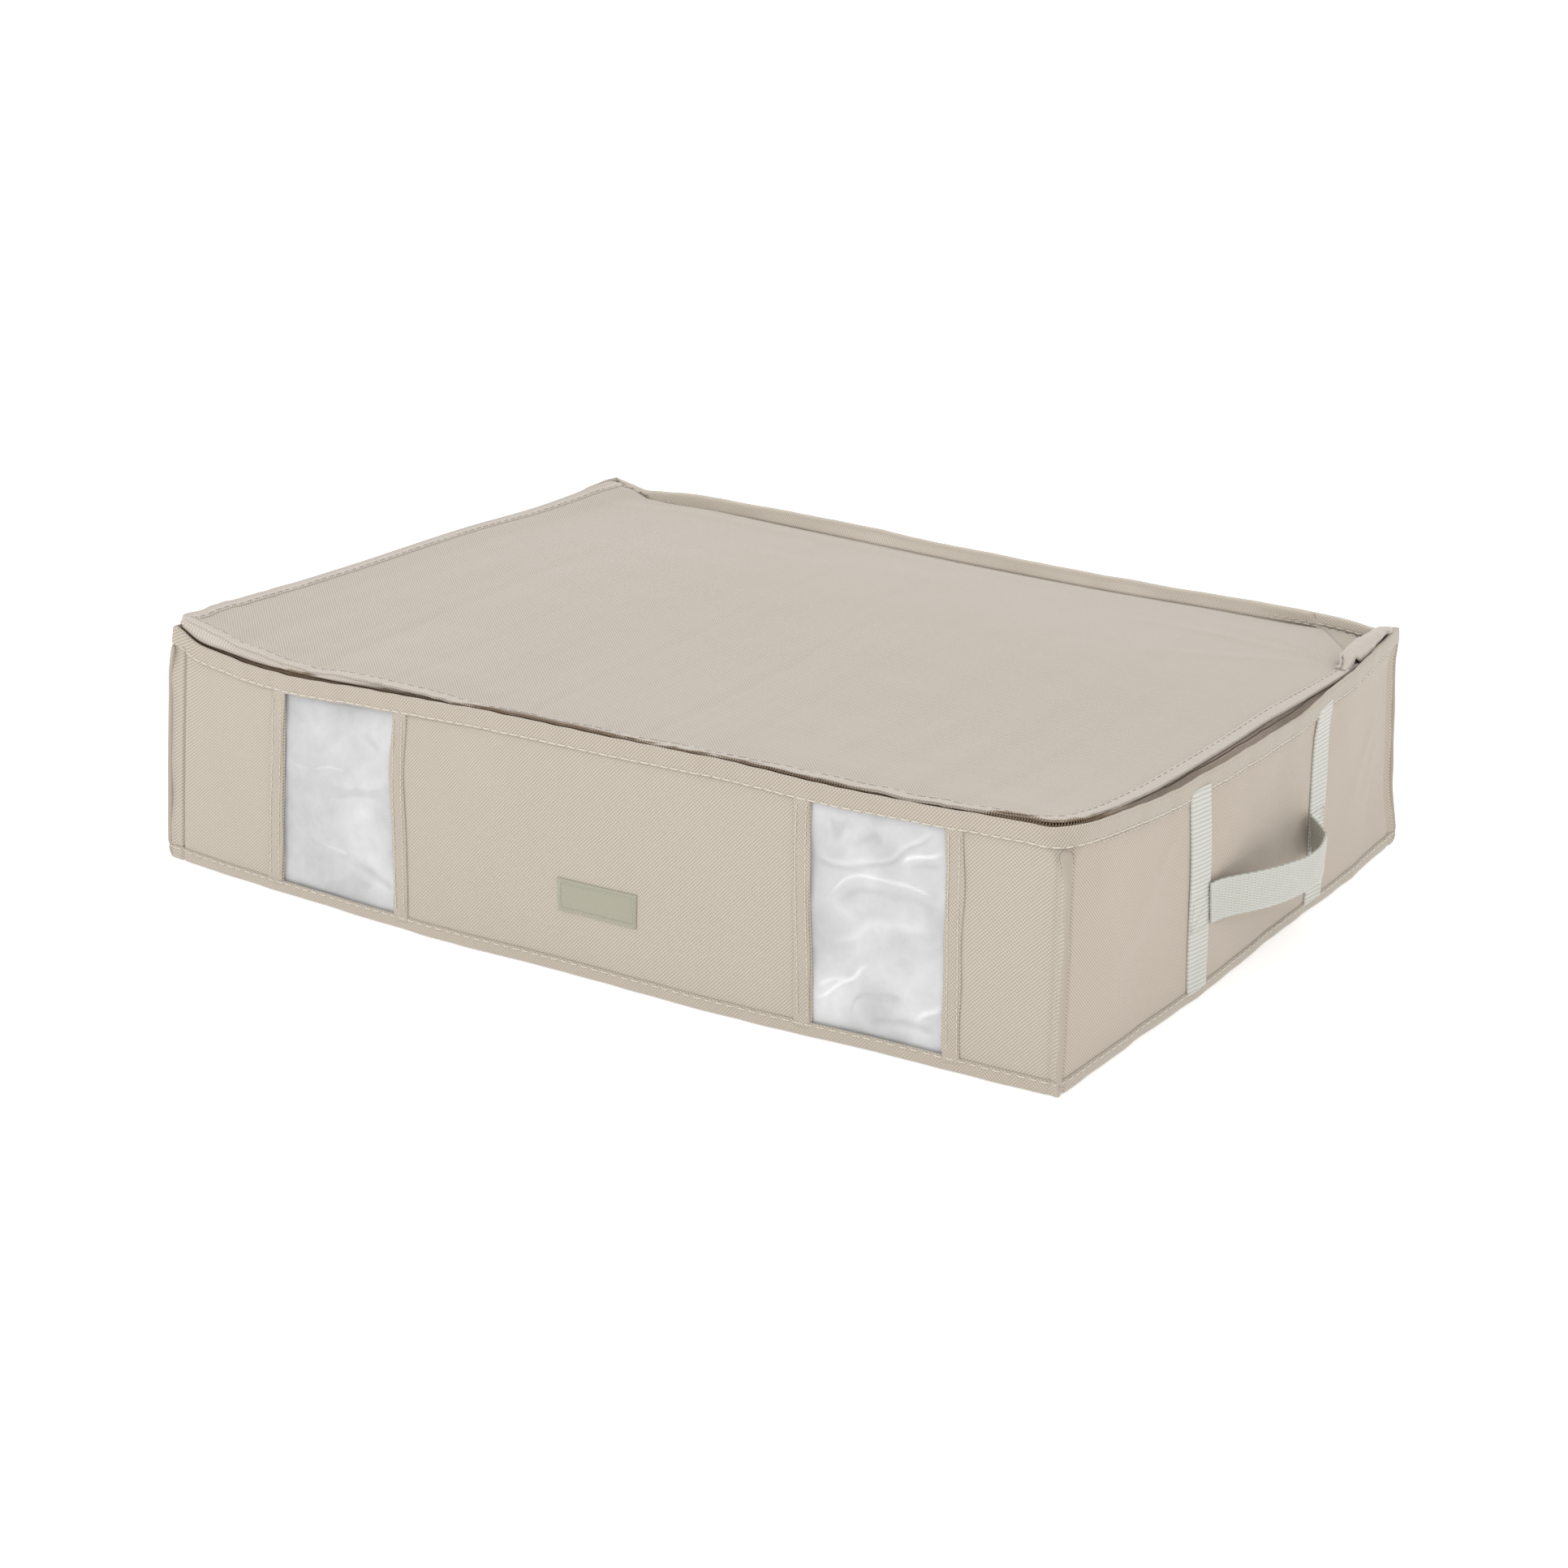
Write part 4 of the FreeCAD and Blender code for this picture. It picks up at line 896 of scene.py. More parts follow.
# The grip: along it from the front strap, and how far it stands off the wall.
HANDLE_SHAPE = [(0, 0.9), (8, 1.4), (15, 2.8), (24, 6.0), (35, 10.5), (53, 17.5), (75, 23.0), (94, 25.0),
                (112, 25.0), (124, 23.0), (137, 18.5), (147, 12.5), (154, 7.0), (160, 2.0), (163.5, 0.9)]


def make_handle(sign):
    """The webbing grip between the two straps, woven in upright herringbone columns."""
    name = "right_handle" if sign > 0 else "left_handle"
    low, high = box_mm(name)
    knots = np.array(HANDLE_SHAPE, float)
    knots[:, 0] += low[1] - 1.5
    y = np.linspace(knots[0, 0], knots[-1, 0], 900)
    out = curve_through(knots, y)
    length = np.concatenate([[0], np.cumsum(np.hypot(np.diff(y), np.diff(out)))])
    run = np.linspace(0, length[-1], int(length[-1] / 0.6))
    y, out = np.interp(run, length, y), np.interp(run, length, out)
    share = run / run[-1]
    across = np.linspace(-1, 1, 69)
    width = (high[2] - low[2]) / 2
    mid = (low[2] + high[2]) / 2 + 3.2 - 5.0 * share
    yy, tt = np.meshgrid(run, across, indexing="ij")
    z = mid[:, None] + tt * width
    column, rib = 5.8, 1.9
    zigzag = 2 * np.abs(2 * (yy / column - np.floor(yy / column + 0.5))) - 1
    wave = np.sin(2 * math.pi * (tt * width + 0.62 * zigzag) / rib)
    turn = np.cos(4 * math.pi * yy / column)
    face = (1 - np.abs(tt) ** 14) * (0.24 * wave - 0.1 * turn)
    # Painted shade: darker in the grooves between the ribs and where the columns turn.
    tint = np.clip(0.45 - 0.62 * wave + 0.16 * turn, 0, 1)
    side = RIGHT if sign > 0 else LEFT
    base = wall(s_at(side, y)[:, None], (z / RIM), 2.0)
    base[..., 0] += sign * out[:, None]
    base[..., 0] += sign * 1.4 * np.sin(math.pi * share)[:, None] * tt
    base[..., 1] += -3.5 * tt
    flip = sign < 0
    order = base[:, ::-1] if flip else base
    face, tint = (face[:, ::-1], tint[:, ::-1]) if flip else (face, tint)
    middle = grid_normals(order)
    shape = order + middle * (face + 0.7)[..., None]
    inner = order - middle * (face + 0.7)[..., None]
    build = Build()
    build.between(shape, inner, tint=tint)
    obj = build.make(name + "_webbing", WEBBING)
    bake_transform(obj)
    hand_over(obj, None, "webbing", name)


# ---------------------------------------------------------------- the zip
ZIP_END = box_mm("zip_case_coil")[1][1]
ZIP_LID_END = box_mm("zip_lid_coil")[1][1]
SLIDER_LOW, SLIDER_HIGH = box_mm("zip_slider")
ZIP_X = (SLIDER_LOW[0] + SLIDER_HIGH[0]) / 2
COIL_Z = (box_mm("zip_case_coil")[0][2] + box_mm("zip_case_coil")[1][2]) / 2


def zip_path(s):
    """Middle of the closed zip, just inside the rim, level with the slider at its ends."""
    p = wall(s, 1 + 0 * s, -5.2)
    inner = wall(s, 1 + 0 * s, -8.2)
    x, y = p[:, 0].copy(), p[:, 1].copy()
    front = smoothstep(-150, -240, y)
    x = x * front + inner[:, 0] * (1 - front)
    p[:, 0] = x
    lift = 1.5 * front - 0.2 * (1 - front)
    middle = smoothstep(-230, -110, x) * smoothstep(300, 230, x) * front
    lift = lift - 2.2 * middle
    p[:, 2] += lift
    tail = smoothstep(110, 178, y)
    p[:, 0] = x * (1 - tail) + np.sign(x) * ZIP_X * tail
    p[:, 2] -= 3.6 * smoothstep(50, 130, y) * (p[:, 0] > 0)
    rise = smoothstep(162, 178, y)
    p[:, 2] = p[:, 2] * (1 - rise) + COIL_Z * rise
    return p


UP = np.array([0.0, 0.0, 1.0])
TAPE_CLOTH = 0.5
TAPE_WIDTH = 8


def zip_tilt(p):
    """The closed zip leans outward in front and at the sides, and lies flat at its ends."""
    return (0.3 + 0.55 * smoothstep(-150, -230, p[..., 1])) * smoothstep(178, 100, p[..., 1])


def zip_axes(p, outward):
    """Directions across the zip, outward and up, tilted with it."""
    tilt = zip_tilt(p)[:, None]
    return outward * np.cos(tilt) - UP * np.sin(tilt), outward * np.sin(tilt) + UP * np.cos(tilt)


def zip_cover(p):
    """Share by which the tapes close over the coils: they do along the sides, not in front."""
    y = p[..., 1]
    return smoothstep(-222, -196, y) * smoothstep(176, 168, y)


def zip_frame(start, end, step):
    s = steps(start, end, step)
    p = zip_path(s)
    t = unit(np.gradient(p, axis=0))
    outward = unit(np.cross(t, [0, 0, 1.0]))
    return s, p, outward


def coil(name, start, end, sign, body):
    """A row of zip teeth: one long wire coil, flattened where it meets its partner."""
    _, p, outward = zip_frame(start, end, 2.0)
    gaps = np.linalg.norm(np.diff(p, axis=0), axis=1)
    length = np.concatenate([[0], np.cumsum(gaps)])
    pitch, per_turn = 1.7, 9
    turns = int(length[-1] / pitch)
    t = np.arange(turns * per_turn) / per_turn
    run = t * pitch + (0.5 * pitch if sign > 0 else 0)
    centre = np.stack([np.interp(run, length, p[:, k]) for k in range(3)], -1)
    side = unit(np.stack([np.interp(run, length, outward[:, k]) for k in range(3)], -1))
    angle = 2 * math.pi * t
    level, lift = zip_axes(centre, side)
    path = centre + level * (sign * 1.15 + 1.05 * np.cos(angle))[:, None]
    path = path + lift * (0.7 * np.sin(angle))[:, None]
    build = Build()
    build.tube(path, 0.37, up=(0, 0, 1), sides=6)
    return hand_over(build.make(name + "_wire", COIL), body, "zip_coil", name)


def make_zip():
    start, end = s_at(LEFT, ZIP_END), s_at(RIGHT, ZIP_END)
    lid_start, lid_end = s_at(LEFT, ZIP_LID_END), s_at(RIGHT, ZIP_LID_END)
    coil("zip_case_coil", start, end, 1, "case")
    coil("zip_lid_coil", lid_start, lid_end, -1, "lid")
    s, p, outward = zip_frame(start - 4, end + 4, 3.0)
    share = np.linspace(0, 1, 7)[None, :, None]
    level, under = zip_axes(p, outward)
    cover = zip_cover(p)[:, None]
    top = p + level * (0.9 - 0.6 * cover) - under * (1.0 - 2.1 * cover)
    ahead = smoothstep(-150, -230, p[:, 1])
    foot = wall(s, 1 + 0 * s, -2.4)
    foot[:, 2] = foot[:, 2] - 1.6 - 5.4 * ahead
    foot[:, 2] = np.minimum(foot[:, 2], top[:, 2] - 0.6)
    grid = foot[:, None] * (1 - share) + top[:, None] * share
    grid[..., 2] -= 0.8 * np.sin(math.pi * share[..., 0])
    sheet("zip_case_tape_cloth", grid, TAPE_CLOTH, pair_up(s[:, None], share[..., 0] * TAPE_WIDTH), ZIP_TAPE,
          "case", "zip_tape", "zip_case_tape", turned=True)
    s, p, outward = zip_frame(lid_start, lid_end, 3.0)
    level, under = zip_axes(p, outward)
    cover = zip_cover(p)[:, None]
    low = p - level * (0.9 - 0.6 * cover) - under * (1.0 - 2.1 * cover)
    edge = lid_facing_foot(p)
    grid = low[:, None] * (1 - share) + edge[:, None] * share
    sheet("zip_lid_tape_cloth", grid, TAPE_CLOTH, pair_up(s[:, None], share[..., 0] * TAPE_WIDTH), ZIP_TAPE,
          "lid", "zip_tape", "zip_lid_tape", turned=True)


# ---------------------------------------------------------------- the lid
LID_CORNERS = [(-315, 247.2, 4), (-322, -245, 4), (320, -244, 24), (319, ZIP_LID_END, 4),
               (box_mm("lid_hinge_band")[1][0], 247.2, 3)]
# Height of the lid's outer fold at places round the lid: x, y, z.
LID_EDGE = (
    [(-300, 247, 151), (-312, 243, 155.5), (-318, 232, 159)]
    + [(-320, y, z) for y, z in [(215, 159.5), (180, 158), (147, 157), (60, 158.5), (-79, 158.5),
                                 (-130, 159.5), (-180, 161.5), (-225, 163)]]
    + [(x, -244, z) for x, z in [(-312, 163), (-294, 159), (-269, 154), (-251, 152), (-236, 150),
                                 (-216, 149.2), (-181, 151.4), (-108, 152.3), (-88, 151.5), (-7, 153),
                                 (80, 155), (161, 156), (214, 156.2), (278, 158)]]
    + [(302, -241, 159.2), (318, -228, 159.4)]
    + [(320, y, z) for y, z in [(-206, 157), (-185, 154.8), (-164, 153.5), (-142, 152.6), (-90, 152),
                                (-24, 152), (26, 152.8), (50, 152), (75, 151), (100, 150), (136, 149)]]
    + [(319, 164, 149), (300, 195, 148), (275, 230, 146)]
    + [(x, 247, z) for x, z in [(255, 144.6), (180, 143.8), (100, 142.6), (0, 143), (-130, 145.6),
                                (-230, 146.6), (-270, 145.5), (-288, 147)]])


def rounded_loop(corners):
    """Dense points round a closed outline with rounded corners."""
    points = []
    for k, (x, y, r) in enumerate(corners):
        here = np.array([x, y], float)
        before = unit(np.array(corners[k - 1][:2], float) - here)
        after = unit(np.array(corners[(k + 1) % len(corners)][:2], float) - here)
        half = math.acos(np.clip(before @ after, -1, 1)) / 2
        reach = r / math.tan(half)
        centre = here + unit(before + after) * r / math.sin(half)
        a, b = here + before * reach - centre, here + after * reach - centre
        for t in np.linspace(0, 1, 9):
            v = unit(a * (1 - t) + b * t) * r
            points.append(centre + v)
    loop = np.array(points)
    dense = []
    for a, b in zip(loop, np.roll(loop, -1, 0)):
        count = max(1, int(np.linalg.norm(b - a) / 2.0))
        dense += [a + (b - a) * i / count for i in range(count)]
    return np.array(dense)


def lid_bow(xy):
    """Bows the lid's sides out a little between its corners."""
    x, y = xy[..., 0], xy[..., 1]
    side = 5.5 * (1 - (y / HALF_D) ** 2) * (np.abs(x) / HALF_W) ** 4
    ahead = 8.5 * (1 - (x / HALF_W) ** 2) * np.clip(-y / HALF_D, 0, 1) ** 4
    return np.stack([x + np.sign(x) * side, y - ahead], -1)


LOOP = rounded_loop(LID_CORNERS)
LOOP_RUN = np.concatenate([[0], np.cumsum(np.linalg.norm(np.diff(LOOP, axis=0), axis=1))])
LOOP_LENGTH = LOOP_RUN[-1] + np.linalg.norm(LOOP[0] - LOOP[-1])


def loop_place(x, y):
    return LOOP_RUN[np.argmin(np.hypot(LOOP[:, 0] - x, LOOP[:, 1] - y))]


def loop_at(run):
    run = np.mod(run, LOOP_LENGTH)
    closed_run = np.append(LOOP_RUN, LOOP_LENGTH)
    closed = np.concatenate([LOOP, LOOP[:1]])
    return np.stack([np.interp(run, closed_run, closed[:, k]) for k in range(2)], -1)


EDGE_TABLE = sorted((loop_place(x, y), z) for x, y, z in LID_EDGE)
EDGE_TABLE = ([(EDGE_TABLE[-1][0] - LOOP_LENGTH, EDGE_TABLE[-1][1])] + EDGE_TABLE
              + [(EDGE_TABLE[0][0] + LOOP_LENGTH, EDGE_TABLE[0][1])])


HEM_PUCKERS = (-234, -214, -150, -46, 34, 66, 160, 246)


def lid_edge(run):
    """Points on the lid's outer fold, with small hand-sewn waves and puckers in front."""
    xy = lid_bow(loop_at(run))
    run = np.mod(run, LOOP_LENGTH)
    z = curve_through(EDGE_TABLE, run)
    ahead = smoothstep(-100, -230, xy[..., 1])
    z = z + ahead * (0.45 * ripple(run, 0 * run, 34, 51) + 0.2 * ripple(run, 0 * run, 11, 52))
    tucked = ahead * sum(np.exp(-(((xy[..., 0] - x) / 3.0) ** 2)) for x in HEM_PUCKERS)
    z = z - 0.8 * tucked
    xy = np.stack([xy[..., 0], xy[..., 1] + 0.5 * tucked], -1)
    return np.concatenate([xy, z[..., None]], -1)


CORNER_RUN = {name: loop_place(x, y) for name, x, y in
              (("back_left", -315, 247.2), ("front_left", -322, -245), ("front_right", 320, -244),
               ("zip_end", 319, ZIP_LID_END), ("hinge_end", LID_CORNERS[4][0], 247.2))}
# Creases of the lid: from and to (x, y), height, width.
CREASES = [((316, 168), (170, 205), 1.5, 5), ((316, 166), (120, 150), 1.3, 7),
           ((316, 164), (190, 60), 1.2, 8), ((262, 240), (90, 222), 0.9, 7),
           ((-300, 238), (-60, 226), 1.3, 6), ((-310, 236), (-240, 180), 0.9, 6),
           ((-262, -240), (-215, -190), 0.8, 4), ((-100, -248), (-70, -200), 0.8, 4),
           ((0, -250), (20, -214), 0.7, 4), ((160, -248), (150, -215), 0.7, 4),
           ((-40, 40), (120, -60), 0.8, 30), ((-120, 120), (60, 150), 0.8, 26),
           ((40, -60), (60, -200), -0.6, 26), ((-200, 20), (-180, -160), 0.7, 30),
           ((-292, 200), (190, 208), 1.9, 12), ((-296, 226), (60, 236), -1.8, 9)]
LID_CROWN = 17.5
LID_PANEL_DROP = 0.9


def lid_height_extra(x, y, u, v):
    """How far the lid's cloth stands over the sheet spanned by its edges."""
    rise_u = 1 - np.abs(2 * u - 1) ** 3.2
    rise_v = (1 - (1 - np.clip(v - 0.012, 0, 1)) ** 6) * (1 - v ** 2.4) * 1.12
    crown = LID_CROWN * rise_u * rise_v
    inner = smoothstep(0, 0.12, u) * smoothstep(1, 0.88, u) * smoothstep(0, 0.1, v) * smoothstep(1, 0.88, v)
    soft = 0.9 * ripple(x, y, 190, 61) + 0.28 * ripple(x, y, 60, 62)
    folds = sum(crease(x, y, *c) for c in CREASES)
    return crown + inner * soft + folds * smoothstep(0, 0.02, v) * smoothstep(0, 0.02, 1 - v)


def between(a, b, share):
    """Runs from corner a to corner b round the loop, spaced evenly along x or y."""
    start, end = CORNER_RUN[a], CORNER_RUN[b]
    end = start + np.mod(end - start, LOOP_LENGTH)
    return start + (end - start) * share


def lid_sheet_points(columns, rows):
    """A grid over the lid spanned between its four edges."""
    def evenly(a, b, axis, values, backward=False):
        run = between(a, b, np.linspace(0, 1, 600))
        p = lid_edge(run)
        if backward:
            p = p[::-1]
        c = p[:, axis]
        order = np.argsort(c)
        target = c[0] + (c[-1] - c[0]) * values
        return np.stack([np.interp(target, c[order], p[order, k]) for k in range(3)], -1)
    u, v = np.linspace(0, 1, columns), np.linspace(0, 1, rows)
    left = evenly("back_left", "front_left", 1, v)
    front = evenly("front_left", "front_right", 0, u)
    right = evenly("front_right", "zip_end", 1, v, backward=True)
    back = evenly("zip_end", "back_left", 0, u, backward=True)
    U, V = u[:, None, None], v[None, :, None]
    p = ((1 - V) * back[:, None] + V * front[:, None] + (1 - U) * left[None] + U * right[None]
         - (1 - U) * (1 - V) * back[0] - U * (1 - V) * back[-1] - (1 - U) * V * front[0] - U * V * front[-1])
    extra = lid_height_extra(p[..., 0], p[..., 1], U[..., 0] + 0 * V[..., 0], V[..., 0] + 0 * U[..., 0])
    p[..., 2] += extra - LID_PANEL_DROP
    return p


def lid_surface_z(xy, grid):
    """Height of the lid's cloth at points near its edge, from the nearest grid points."""
    flat = grid.reshape(-1, 3)
    out = np.zeros(len(xy))
    for i, q in enumerate(xy):
        d = (flat[:, 0] - q[0]) ** 2 + (flat[:, 1] - q[1]) ** 2
        k = np.argpartition(d, 4)[:4]
        w = 1 / (d[k] + 0.5)
        out[i] = (flat[k, 2] * w).sum() / w.sum()
    return out


def lid_inward(run):
    """Horizontal direction from the lid's outer fold towards its middle."""
    a, b = lid_edge(run - 3)[..., :2], lid_edge(run + 3)[..., :2]
    t = unit(b - a)
    return np.stack([-t[..., 1], t[..., 0], 0 * t[..., 0]], -1)


def hem_runs(step=2.2):
    start = CORNER_RUN["back_left"]
    end = start + np.mod(CORNER_RUN["zip_end"] - start, LOOP_LENGTH)
    return steps(start + 1, end - 1, step)


HEM_RUNS = hem_runs()
HEM_EDGE = lid_edge(HEM_RUNS)
HEM_IN = lid_inward(HEM_RUNS)


def facing_inset(edge, share):
    """How far in from the outer fold the facing hangs; at the front left it slopes outward."""
    left = smoothstep(-150, -230, edge[:, 1]) * smoothstep(-130, -200, edge[:, 0])
    return ((0.9 + 1.1 * share) * (1 - left) + (0.3 - 1.9 * share) * left)[:, None]


def facing_foot_z():
    """Lower edge of the lid's upright facing, just over the zip."""
    s = np.array([nearest_s(q) for q in HEM_EDGE[:, :2]])
    zip_z = zip_path(s)[:, 2]
    ahead = smoothstep(-150, -230, HEM_EDGE[:, 1])
    return np.maximum(zip_z + 1.4, HEM_EDGE[:, 2] - 4 - 9 * ahead)


def nearest_s(q):
    table = np.linspace(20, STARTS[3] - 20, 800)
    if not hasattr(nearest_s, "xy"):
        nearest_s.xy = wall(table, 1 + 0 * table, 0)[:, :2]
    return table[np.argmin(np.hypot(*(nearest_s.xy - q).T))]


def lid_facing_foot(p):
    """For points along the zip, the matching points on the facing's lower edge."""
    foot = HEM_EDGE + HEM_IN * facing_inset(HEM_EDGE, 1.0)
    foot[:, 2] = facing_foot_z()
    result = np.zeros_like(p)
    for i, q in enumerate(p):
        result[i] = foot[np.argmin(np.hypot(foot[:, 0] - q[0], foot[:, 1] - q[1]))]
    return result


def make_lid():
    grid = lid_sheet_points(131, 101)
    sheet("lid_cloth", grid, 0.8, grid[..., :2], LID_CLOTH, "lid", "cloth", "lid_panel", turned=True)
    make_hem(grid)
    make_hinge()


HEM_WIDTH = 9.0
HEM_THREAD_INSET = 7.0


def make_hem(grid):
    """The bound hem round the lid: a flat top, a soft outer roll and the upright facing."""
    runs, edge, inward = HEM_RUNS, HEM_EDGE, HEM_IN
    foot = facing_foot_z()
    rows = []
    for i, d in enumerate([HEM_WIDTH, 6.6, 4.2, 2.2]):
        p = edge + inward * d
        p[:, 2] = lid_surface_z(p[:, :2], grid) + (0.45 + 0.3 * (i > 0))
        rows.append(p)
    for d, rise in ((0.8, 0.8), (0.15, 0.4), (0.0, -0.3), (0.35, -0.9)):
        rows.append(edge + inward * d + [0, 0, rise])
    for share in (0.25, 0.6, 1.0):
        p = edge + inward * facing_inset(edge, share)
        p[:, 2] = (edge[:, 2] - 1.4) * (1 - share) + np.minimum(foot, edge[:, 2] - 1.6) * share
        rows.append(p)
    p = np.stack(rows, 1)
    sheet("lid_hem_cloth", p, 0.5, pair_up(runs[:, None], run_across(p)[None]), HEM_CLOTH, "lid", "binding",
          "lid_edge_band", turned=True)
    threads = Build()
    line = edge + inward * HEM_THREAD_INSET
    line[:, 2] = lid_surface_z(line[:, :2], grid) + 0.85
    line[:, 2] += 0.2 * ripple(runs, 0 * runs, 40, 3)
    threads.row(line, np.tile([0.0, 0, 1], (len(line), 1)), 5.8, 7.8, 0.36, 3)
    hand_over(threads.make("lid_hem_threads", HEM_THREAD), "lid", "binding")


def make_hinge():
    """The strip that joins the lid to the back ridge, turning over the ridge's top."""
    x_low, x_high = -315.0, box_mm("lid_hinge_band")[1][0]
    x = np.concatenate([np.arange(x_low, -284, 0.8), steps(-284, x_high, 5)])
    pleat = 1.3 * np.abs(np.sin((x + 314) * math.pi / 7.5)) * smoothstep(-286, -296, x)
    s = s_at(BACK, x)
    top = wall(s, 1 + 0 * s, 0)
    low = np.array([lid_edge(np.array([loop_place(q, 247.2)]))[0] for q in x])
    rows = []
    for out, rise in ((-2.7, 1.0), (-3.3, 0.2), (-3.5, -1.5)):
        p = wall(s, 1 + 0 * s, out)
        p[:, 2] += rise
        rows.append(p)
    upper = rows[-1]
    for share in (0.3, 0.6, 0.85, 1.0):
        p = upper * (1 - share) + low * share
        p[:, 1] = upper[:, 1] * (1 - share) + (low[:, 1] - 0.3) * share - pleat * (1.2 - share)
        p[:, 2] += 0.5 * pleat * (1 - share)
        rows.append(p)
    p = np.stack(rows, 1)
    p[:, -1, 2] = low[:, 2] - 1.2
    uv = pair_up(x[:, None], -run_across(p)[None])
    build = Build()
    build.shell(p[:, ::-1], 0.7, uv[:, ::-1])
    obj = build.make("lid_hinge_cloth", RIDGE_CLOTH)
    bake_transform(obj)
    hand_over(obj, None, "binding", "lid_hinge_band")


# ---------------------------------------------------------------- the vacuum bag
def bag_ring(h, inset):
    """One level outline of the bag: the walls' outline drawn in, with round corners."""
    p = wall(steps(0, ROUND, 6)[:-1], h, 0)
    for _ in range(10):
        p[:, :2] = (np.roll(p[:, :2], 1, 0) + 2 * p[:, :2] + np.roll(p[:, :2], -1, 0)) / 4
    return p * [(HALF_W - inset) / HALF_W, (HALF_D - inset) / HALF_D, 1]


def make_bag():
    low, high = box_mm("vacuum_bag")
    rings = [bag_ring(h, inset) for h, inset in ((0.02, 20), (0.03, 14), (0.07, 10))]
    rings += [bag_ring(h, 8.5) for h in steps(0.12, 0.8, 0.03)]
    rings += [bag_ring(h, inset) for h, inset in ((0.84, 10), (0.87, 13.5), (0.89, 19))]
    sides = len(rings)
    top = rings[-1]
    for share in np.linspace(0.96, 0.03, 52):
        ring = top * [share, share, 1]
        ring[:, 2] = top[:, 2] * share ** 2 + 135 * (1 - share ** 2)
        rings.append(ring)
    p = np.array(rings)
    fold = crumple(p, 1 / 55, 4) - 1.0
    small = crumple(p, 1 / 21, 9) - 1.0
    push = np.clip(1.9 * fold + 0.55 * small - 0.8, -6, 1.2)
    along = unit((np.roll(p, -1, 1) - np.roll(p, 1, 1)) * [1, 1, 0])
    outward = np.stack([along[..., 1], -along[..., 0], 0 * along[..., 0]], -1)
    level = np.arange(len(rings))[:, None, None]
    upper = smoothstep(sides - 4, sides + 3, level)
    foot = smoothstep(0, 3, level)
    p = p + (outward * (1 - upper) * foot + [0, 0, 1.0] * upper) * push[..., None]
    p[..., 2] = np.clip(p[..., 2], low[2], high[2] - 0.2)
    n, m = p.shape[:2]
    build = Build()
    verts = np.concatenate([p.reshape(-1, 3), [p[-1].mean(0)], [[0, 0, low[2]]]])
    faces = disc_faces(n, m) + [((j + 1) % m, j, n * m + 1) for j in range(m)]
    build.add(verts, faces, verts[:, :2])
    hand_over(build.make("vacuum_bag_film", BAG_FILM), "case", "bag_film", "vacuum_bag")


# ---------------------------------------------------------------- stitching
def wall_row(build, s_values, h_values, out, seed, length=5.6, pitch=7.2, thick=0.5):
    s, h = np.broadcast_arrays(np.asarray(s_values, float), np.asarray(h_values, float))
    path = wall(s, h, out)
    outward = unit(wall(s, h, out + 2.0) - path)
    build.row(path, outward, length, pitch, thick, seed)


def make_stitching():
    rim = Build()
    s = steps(20, STARTS[3] - 20, 3)
    drop = (BAND - 1.3) / RIM
    wall_row(rim, s, 1 - drop, 1.1, 11)
    side = steps(STARTS[2] + 25, STARTS[3] - 20, 3)
    wall_row(rim, side, 1 - drop - 1.9 / RIM, 1.0, 12, 3.4, 4.6, 0.25)
    hand_over(rim.make("rim_threads", THREAD), "case", "binding")
    back = Build()
    s = steps(STARTS[3] + 18, ROUND - 18, 3)
    wall_row(back, s, 1 - drop, 1.1, 13)
    wall_row(back, s, 1 - drop + 2.4 / RIM, 1.15, 14)
    inner = wall(s, 1 - (BAND - 3) / RIM, -3.4)
    for rise, seed in ((0, 15), (1.9, 17)):
        back.row(inner[::-1] + [0, 0, rise], np.tile([0.0, -1, 0], (len(s), 1)), 5.0, 6.8, 0.36, seed)
    hand_over(back.make("ridge_threads", THREAD), "case", "binding")
    base = Build()
    s = steps(20, ROUND - 20, 3)
    wall_row(base, s, (BASE_BAND - 1.4) / RIM, 1.05, 16, 5.0, 7.4, 0.46)
    hand_over(base.make("base_threads", THREAD), "case", "binding")
    tapes = Build()
    h = steps(0.07, 0.92, 0.02)
    for k, node in enumerate(("left_window_outer_tape", "left_window_inner_tape",
                              "right_window_inner_tape", "right_window_outer_tape")):
        a, b = span(node, FRONT)
        for share in (0.2, 0.8):
            wall_row(tapes, a + (b - a) * share + 0 * h, h, 1.0, 20 + k, 3.8, 4.8, 0.3)
    for s0 in (STARTS[2] - 4.2, STARTS[2] + 4.2):
        wall_row(tapes, s0 + 0 * h, h, 0.0, int(s0), 2.0, 3.4, 0.18)
    hand_over(tapes.make("window_threads", THREAD), "case", "binding")
    boxes = Build()
    for side in (RIGHT, LEFT):
        name = "right" if side == RIGHT else "left"
        for node in (name + "_front_strap", name + "_back_strap"):
            low, high = box_mm(node)
            z0, z1 = 50.0, 72.0
            middle = strap_middle(node, (z0 + z1) / 2)
            reach = (high[1] - low[1]) / 2 - 2.4
            y0, y1 = middle - reach, middle + reach
            loop = [(y0, z0), (y1, z0), (y1, z1), (y0, z1), (y0, z0), (y1, z1)]
            for (ya, za), (yb, zb) in zip(loop[:-1], loop[1:]):
                t = np.linspace(0, 1, 30)
                wall_row(boxes, s_at(side, ya + (yb - ya) * t), (za + (zb - za) * t) / RIM, 1.75,
                         int(za), 1.7, 2.3, 0.2)
    hand_over(boxes.make("strap_threads", THREAD), "case", "webbing")


